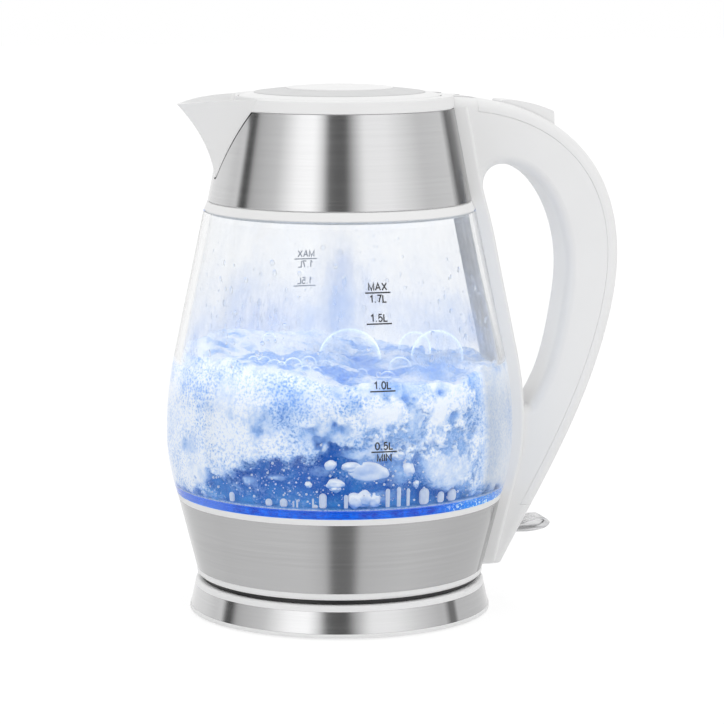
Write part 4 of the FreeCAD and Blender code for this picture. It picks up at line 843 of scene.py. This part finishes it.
def bead(shape, bearing, z, width, tall, thick, depth):
    """A flattened drop of steam or water against the wall."""
    at, angle = wall_point(bearing, z, depth)
    upper = quarter(width / 2, tall / 2, BEAD_STEPS)
    lower = [(r, -h) for r, h in reversed(upper[1:])]
    profile = [(0, -tall / 2)] + lower + upper + [(0, tall / 2)]
    lathe(shape, profile, at, BEAD_SIDES, thick / width, angle)


def steam():
    """Fingers of steam on the hot plate and loose bubbles above them, at the front and at the back."""
    shape = bmesh.new()
    chance = random.Random(BUBBLE_SEED)
    for side in (0, 180):
        for bearing, width, tall in COLUMNS:
            at, angle = wall_point(bearing + side, HEEL_TOP_Z, 0.9 + width * 0.35)
            radius = width / 2
            arch = [(r, tall - radius + h) for r, h in quarter(radius, radius, COLUMN_STEPS)]
            profile = [(0, 0), (radius * 0.7, 0), (radius * 0.95, radius * 0.4)] + arch + [(0, tall)]
            lathe(shape, profile, (at[0], at[1], COLUMN_FOOT_Z), COLUMN_SIDES, COLUMN_FLAT, angle)
        for _ in range(LOOSE_BUBBLES):
            bearing = chance.gauss(BUBBLE_BEARING, BUBBLE_SPREAD)
            ceiling = along(CLEAR_LINE, side_bearing(FRONT + math.radians(bearing))) + 4
            z = chance.uniform(HEEL_TOP_Z - 2, ceiling + 2)
            size = BUBBLE_SIZE + BUBBLE_GROWTH * chance.random() ** 4
            depth = BUBBLE_DEPTH + BUBBLE_DRIFT * chance.random()
            bead(shape, bearing + side, z, size, size, size, depth)
    new_piece("steam_bubbles", mesh_of("steam_bubbles", shape), steam_finish(), "jug")


def lump(shape, at, angle, sizes):
    """A soft lump of a given thickness, width and height about a point, with its thickness along an angle."""
    for vert in bmesh.ops.create_icosphere(shape, subdivisions=4, radius=1.0)["verts"]:
        way = vert.co.normalized()
        swell = 1 + LUMP_SWELL * waves(*(way * 0.9 + Vector(at)), 2, fade=1.0, finer=2.0)
        local = Vector([share * size / 2 for share, size in zip(way, sizes)]) * swell
        vert.co = (Vector(at) + Matrix.Rotation(angle, 3, "Z") @ local) * MM


def steam_lumps():
    """Soft lumps of steam in the clear water, at the front and at the back."""
    shape = bmesh.new()
    for side in (0, 180):
        for bearing, z, width, tall in STEAM_LUMPS:
            at, angle = wall_point(bearing + side, z, LUMP_DEPTH)
            lump(shape, at, angle, (min(LUMP_THICK, width), width, tall))
    new_piece("steam_lumps", mesh_of("steam_lumps", shape), lump_finish(), "jug")


def lump_finish():
    """Painted light from above: white on top and blue shade below, with a soft mottle and a faint painted
    glow.
    """
    made, shader = new_material("steam_lumps")
    tree = made.node_tree
    at = place(tree)
    # Painted shading: the colour follows how far the surface faces up
    normal = tree.nodes.new("ShaderNodeNewGeometry").outputs["Normal"]
    up = add(tree, "SeparateXYZ", Vector=normal).outputs["Z"]
    mottle = product(tree, cloud(tree, at, 140.0, 3.0, 0.5), 1.5)
    share = spread(tree, total(tree, up, mottle), 0.0, 1.5)
    body = ramp(tree, share, [(0.0, (0.16, 0.34, 0.70)), (0.35, (0.44, 0.56, 0.81)), (0.75, FROTH_WHITE)])
    paint(
        shader,
        Base_Color=body,
        Emission_Color=body,
        Emission_Strength=0.12,
        Roughness=0.4,
        Specular_IOR_Level=0.2,
    )
    bumped(tree, shader, cloud(tree, at, 300.0, 2.0), 0.06, 0.0003)
    return made


def steam_finish():
    """Hollow-looking by painted light: pale blue where a bubble faces out, and a painted white highlight
    towards its rim.
    """
    made, shader = new_material("steam_bubbles")
    tree = made.node_tree
    at = place(tree)
    rim = add(tree, "LayerWeight", Blend=0.35).outputs["Facing"]
    grain = product(tree, cloud(tree, at, 500.0, 3.0), 0.5)
    share = spread(tree, total(tree, rim, grain), 0.15, 0.75)
    body = blend_colours(tree, share, (0.50, 0.60, 0.82), FROTH_WHITE)
    paint(shader, Base_Color=body, Roughness=0.3, Specular_IOR_Level=0.2)
    bumped(tree, shader, cloud(tree, at, 900.0, 2.0), 0.2, 0.0003)
    return made


def film_domes():
    """Bubbles that stand on the surface: thin closed shells of water."""
    shape = bmesh.new()
    for right, back, radius, lift in DOMES:
        x, y = on_surface(right, back)
        foot = surface_height(x, y) + lift
        inner = radius - DOME_FILM
        inside = [(0.0, inner)] + quarter(inner, inner, DOME_STEPS)[::-1] + [(inner, -DOME_ROOT)]
        outside = [(radius, -DOME_ROOT)] + quarter(radius, radius, DOME_STEPS) + [(0.0, radius)]
        lathe(shape, inside + outside, (x, y, foot), DOME_SIDES)
    new_piece("film_domes", mesh_of("film_domes", shape), film_finish(), "jug")


def film_finish():
    """Water film: clear in the middle, with a painted glowing rim and faint swirls."""
    made, shader = new_material("film_domes")
    tree = made.node_tree
    at = place(tree)
    swirl = cloud(tree, at, 120.0, 4.0, 0.6)
    # Painted highlight: the rim of each film glows
    rim = add(tree, "LayerWeight", Blend=0.5).outputs["Facing"]
    painted_glow = math_node(tree, "POWER", rim, 4.0)
    paint(
        shader,
        Emission_Color=blend_colours(tree, swirl, PALE_BLUE, (0.95, 0.98, 1.0)),
        Emission_Strength=product(tree, painted_glow, 0.80),
        Base_Color=(0.97, 0.985, 1.0, 1.0),
        Transmission_Weight=1.0,
        IOR=FILM_INDEX,
        Roughness=0.0,
    )
    bumped(tree, shader, swirl, 0.06, 0.0005)
    let_lamps_through(made, shader, (0.97, 0.985, 1.0))
    return made


def veil_at(angle, z):
    """How thick the condensation is at a point of the wall, from 0 to 1."""
    x, y = math.cos(angle), math.sin(angle)
    bearing = side_bearing(angle)
    drift = waves(x * 4, y * 4, z / 18, 5)
    veil = smooth(MIST_LOW_Z, MIST_LOW_Z + 9, z) * (0.17 - 0.13 * smooth(125, 172, z)) * (1 + drift)
    for middle, height, width, tall, share in STEAM_PATCHES:
        across = math.radians(bearing - middle) * bore_radius(height)
        reach = math.hypot(across / width, (z - height) / tall) * 2 + 0.45 * drift
        veil += (share - veil) * smooth(1.7, 0.0, reach)
    return min(1.0, max(0.0, veil))


def mist():
    """A thin film of condensation inside the jar, above the water."""
    shape = bmesh.new()
    thick = shape.verts.layers.float.new("veil")
    walls = []
    for depth in (MIST_DEPTH, MIST_DEPTH + MIST_FILM):
        wall = []
        for row in range(MIST_ROWS + 1):
            z = MIST_LOW_Z + (MIST_TOP_Z - MIST_LOW_Z) * row / MIST_ROWS
            ring = []
            for i in range(MIST_COLUMNS):
                spot, angle = wall_point(360 * i / MIST_COLUMNS, z, depth)
                vert = shape.verts.new(Vector(spot) * MM)
                vert[thick] = veil_at(angle, z)
                ring.append(vert)
            wall.append(ring)
        walls.append(wall)
    outer, inner = walls
    loop = outer + inner[::-1] + outer[:1]
    for below, above in zip(loop, loop[1:]):
        for i in range(MIST_COLUMNS):
            j = (i + 1) % MIST_COLUMNS
            shape.faces.new((below[i], below[j], above[j], above[i]))
    new_piece("mist", mesh_of("mist", shape), mist_finish(), "jug")


def mist_finish():
    """White where it is thin and painted blue lamp light where it is thick, with runs where drops have wiped
    it.
    """
    made, shader = new_material("mist")
    tree = made.node_tree
    thick = attribute(tree, "veil")
    runs = spread(tree, cloud(tree, place(tree, (300.0, 300.0, 90.0)), 1.0, 4.0, 0.6), 0.30, 0.66, 0.55, 1.1)
    cover = product(tree, thick, runs)
    tint = blend_colours(tree, spread(tree, thick, 0.05, 0.4), (0.86, 0.91, 1.0), (0.36, 0.54, 0.92))
    # A faint painted glow in the mist's own colour
    paint(
        shader,
        Base_Color=tint,
        Emission_Color=tint,
        Emission_Strength=0.12,
        Roughness=0.5,
        Specular_IOR_Level=0.1,
        Alpha=cover,
    )
    return made


def droplets():
    """Beads of water on the wall above the surface, closest together near it."""
    shape = bmesh.new()
    chance = random.Random(DROPLET_SEED)
    for _ in range(DROPLETS):
        bearing = chance.uniform(-180, 180)
        z = WATER_LEVEL_Z + DROPLET_START + DROPLET_REACH * chance.random() ** 1.5
        size = DROPLET_SIZE + DROPLET_GROWTH * chance.random() ** 4
        tall = size * chance.uniform(0.9, 1.7)
        bead(shape, bearing, z, size, tall, DROPLET_THICK, DROPLET_DEPTH)
    new_piece("droplets", mesh_of("droplets", shape), droplet_finish(), "jug")


def droplet_finish():
    """Clear in the middle, with a painted blue-grey reflection on the edge where a drop turns away."""
    made, shader = new_material("droplets")
    tree = made.node_tree
    ripple = cloud(tree, place(tree), 300.0, 2.0)
    paint(shader, Roughness=spread(tree, ripple, 0.3, 0.7, 0.0, 0.08))
    rim = spread(tree, add(tree, "LayerWeight", Blend=0.4).outputs["Facing"], 0.25, 0.8)
    tint = blend_colours(tree, rim, (0.95, 0.97, 1.0), (0.50, 0.62, 0.88))
    paint(shader, Base_Color=tint, Transmission_Weight=1.0, IOR=WATER_INDEX)
    let_lamps_through(made, shader, (0.93, 0.96, 1.0))
    return made


# Level marks on the glass


def wrapped(shape, middle_angle, z):
    """Bends a flat drawing, in millimetres along X and Y with its thickness in Z, onto the glass."""
    for vert in shape.verts:
        height = z + vert.co.y
        radius = glass_radius(height) - MARK_DEPTH + vert.co.z
        angle = middle_angle + vert.co.x / glass_radius(height)
        vert.co = Vector((math.cos(angle), math.sin(angle), 0)) * radius * MM
        vert.co.z = height * MM


def bow(x, y, wide, tall, start, end, count=14):
    """Points of an elliptical arc, with angles in degrees."""
    angles = [math.radians(start + (end - start) * i / count) for i in range(count + 1)]
    return [(x + wide * math.cos(a), y + tall * math.sin(a)) for a in angles]


# Plain upright letters, one unit tall: width, and strokes as lines through points
LETTERS = {
    "M": (0.74, [[(0, 0), (0, 1), (0.37, 0.05), (0.74, 1), (0.74, 0)]]),
    "A": (0.72, [[(0, 0), (0.36, 1), (0.72, 0)], [(0.13, 0.34), (0.59, 0.34)]]),
    "X": (0.68, [[(0, 0), (0.68, 1)], [(0, 1), (0.68, 0)]]),
    "I": (0.06, [[(0.03, 0), (0.03, 1)]]),
    "N": (0.72, [[(0, 0), (0, 1), (0.72, 0), (0.72, 1)]]),
    "L": (0.54, [[(0, 1), (0, 0), (0.54, 0)]]),
    "0": (0.56, [bow(0.28, 0.5, 0.28, 0.5, 0, 360, 28)]),
    "1": (0.44, [[(0.06, 0.74), (0.32, 0.98), (0.32, 0)]]),
    "5": (0.56, [[(0.52, 1), (0.12, 1), (0.05, 0.50)] + bow(0.27, 0.32, 0.28, 0.32, 130, -150)]),
    "7": (0.56, [[(0, 1), (0.56, 1), (0.34, 0.5), (0.22, 0)]]),
    ".": (0.16, [[(0.02, 0.05), (0.14, 0.05)]]),
}


def ribbon(shape, points):
    """A thin flat bar of stroke width through points in millimetres, with mitred corners.

    It closes if its ends meet.
    """
    path = [Vector(point) for point in points]
    closed = (path[0] - path[-1]).length < 1e-6
    if closed:
        path.pop()
    last = len(path) - 1
    rims = []
    for i, point in enumerate(path):
        before = path[i - 1] if i or closed else point
        after = path[(i + 1) % len(path)] if i < last or closed else point
        arrive = (point - before).normalized() if before != point else (after - point).normalized()
        leave = (after - point).normalized() if after != point else arrive
        side = (arrive + leave).normalized().orthogonal() * STROKE / 2
        side = side / max(0.45, (arrive + leave).length / 2)
        edge = [point + side, point - side]
        rims.append([shape.verts.new((*spot, z)) for spot in edge for z in (-MARK_BODY / 2, MARK_BODY / 2)])
    pairs = list(zip(rims, rims[1:]))
    if closed:
        pairs.append((rims[-1], rims[0]))
    else:
        shape.faces.new([rims[0][i] for i in (0, 1, 3, 2)])
        shape.faces.new([rims[-1][i] for i in (2, 3, 1, 0)])
    for here, there in pairs:
        for i, j in ((0, 1), (1, 3), (3, 2), (2, 0)):
            shape.faces.new((here[i], here[j], there[j], there[i]))


def write(shape, words, foot):
    """Letters as thin solids, centred along X and standing on a height, in millimetres."""
    gap = LETTER_GAP / WORD_HEIGHT
    pen = -(sum(LETTERS[letter][0] for letter in words) + gap * (len(words) - 1)) / 2
    for letter in words:
        width, strokes = LETTERS[letter]
        for stroke in strokes:
            ribbon(shape, [((pen + x) * WORD_HEIGHT, foot + y * WORD_HEIGHT) for x, y in stroke])
        pen += width + gap


def print_finish(name, dark, light):
    """Matt enamel print with a fine worn grain."""
    made, shader = new_material(name)
    tree = made.node_tree
    worn = cloud(tree, place(tree), 2500.0, 3.0)
    paint(
        shader,
        Base_Color=ramp(tree, worn, [(0.3, dark), (0.7, light)]),
        Roughness=spread(tree, worn, 0.3, 0.7, 0.45, 0.65),
        Specular_IOR_Level=0.2,
    )
    bumped(tree, shader, worn, 0.2, 0.00005)
    return made


def level_marks():
    """Lines and volumes on both sides of the jar: black print on a grey primer that shows from behind."""
    made = print_finish("black_print", (0.006, 0.006, 0.007), (0.014, 0.014, 0.016))
    primer = print_finish("print_primer", (0.54, 0.55, 0.57), (0.60, 0.61, 0.63))
    for side, angle in (("front", -math.pi / 2), ("back", math.pi / 2)):
        for number, (z, above, below) in enumerate(LEVELS):
            shape = bmesh.new()
            ribbon(shape, [(MARK_LENGTH * (i / 12 - 0.5), 0.0) for i in range(13)])
            write(shape, above, WORD_GAP)
            write(shape, below, -WORD_GAP - WORD_HEIGHT)
            wrapped(shape, angle, z)
            name = f"level_{side}_{number}"
            mesh = mesh_of(name, shape)
            mesh.shade_flat()
            new_piece(name, mesh, made, "jug")
            mesh.materials.append(primer)
            for face in mesh.polygons:
                if face.normal.xy.dot(face.center.xy) < -0.5 * face.center.xy.length:
                    face.material_index = 1


# Camera, floor and studio light


def camera():
    """The camera of the photograph's view."""
    data = bpy.data.cameras.new("camera")
    data.lens = CAMERA_LENS
    data.sensor_width = SENSOR_WIDTH
    data.shift_x = CAMERA_SHIFT
    holder = bpy.data.objects.new("camera", data)
    holder.location = CAMERA_PLACE
    holder.rotation_euler = (math.pi / 2 - CAMERA_PITCH, 0.0, CAMERA_HEADING)
    bpy.context.scene.collection.objects.link(holder)
    bpy.context.scene.camera = holder


def studio():
    """Soft panels round the object as the world's light, and plain white behind it."""
    world = bpy.data.worlds.new("studio")
    bpy.context.scene.world = world
    world.use_nodes = True
    tree = world.node_tree
    ground = tree.nodes["Background"]
    way = tree.nodes.new("ShaderNodeTexCoord").outputs["Generated"]
    turned = add(tree, "Mapping", Vector=way, Rotation=(0.0, 0.0, -CAMERA_HEADING)).outputs["Vector"]
    split = add(tree, "SeparateXYZ", Vector=turned).outputs
    angle = math_node(tree, "ARCTAN2", split["X"], product(tree, split["Y"], -1.0))
    share = spread(tree, angle, -math.pi, math.pi)
    level, below = [ramp(tree, share, grey_stops(levels, -180, 360)) for levels in (STUDIO, STUDIO_BELOW)]
    overhead = spread(tree, split["Z"], 0.45, 0.85)
    beneath = spread(tree, split["Z"], -0.20, -0.35)
    lit = blend_colours(tree, beneath, level, below)
    lit = blend_colours(tree, overhead, lit, STUDIO_ABOVE)
    seen = either_ray(tree, "Camera", "Transmission")
    tree.links.new(blend_colours(tree, seen, lit, (1.0, 1.0, 1.0)), ground.inputs["Color"])


def floor():
    """A white sweep that keeps the object's shadow."""
    shape = bmesh.new()
    bmesh.ops.create_grid(shape, x_segments=2, y_segments=2, size=FLOOR_HALF)
    mesh = bpy.data.meshes.new("floor")
    shape.to_mesh(mesh)
    shape.free()
    made, shader = new_material("floor")
    tree = made.node_tree
    paint(shader, Base_Color=(0.88, 0.88, 0.88, 1.0), Roughness=0.9)
    shade = add(tree, "BsdfDiffuse", Color=(0.26, 0.26, 0.26, 1.0))
    white = add(tree, "Emission", Color=(0.80, 0.80, 0.80, 1.0), Strength=1.0)
    pale = tree.nodes.new("ShaderNodeAddShader")
    tree.links.new(shade.outputs["BSDF"], pale.inputs[0])
    tree.links.new(white.outputs["Emission"], pale.inputs[1])
    seen = mix_shaders(tree, either_ray(tree, "Camera", "Transmission"), shader, pale)
    mirrored = tree.nodes.new("ShaderNodeLightPath").outputs["Is Glossy Ray"]
    show(tree, mix_shaders(tree, mirrored, seen, add(tree, "BsdfTransparent")))
    mesh.materials.append(made)
    piece = bpy.data.objects.new("floor", mesh)
    bpy.context.scene.collection.objects.link(piece)


camera()
studio()
floor()
dress_frame()
latch_coil()
boiling_water()
steam()
steam_lumps()
film_domes()
mist()
droplets()
level_marks()
bpy.context.scene.view_settings.view_transform = "Standard"
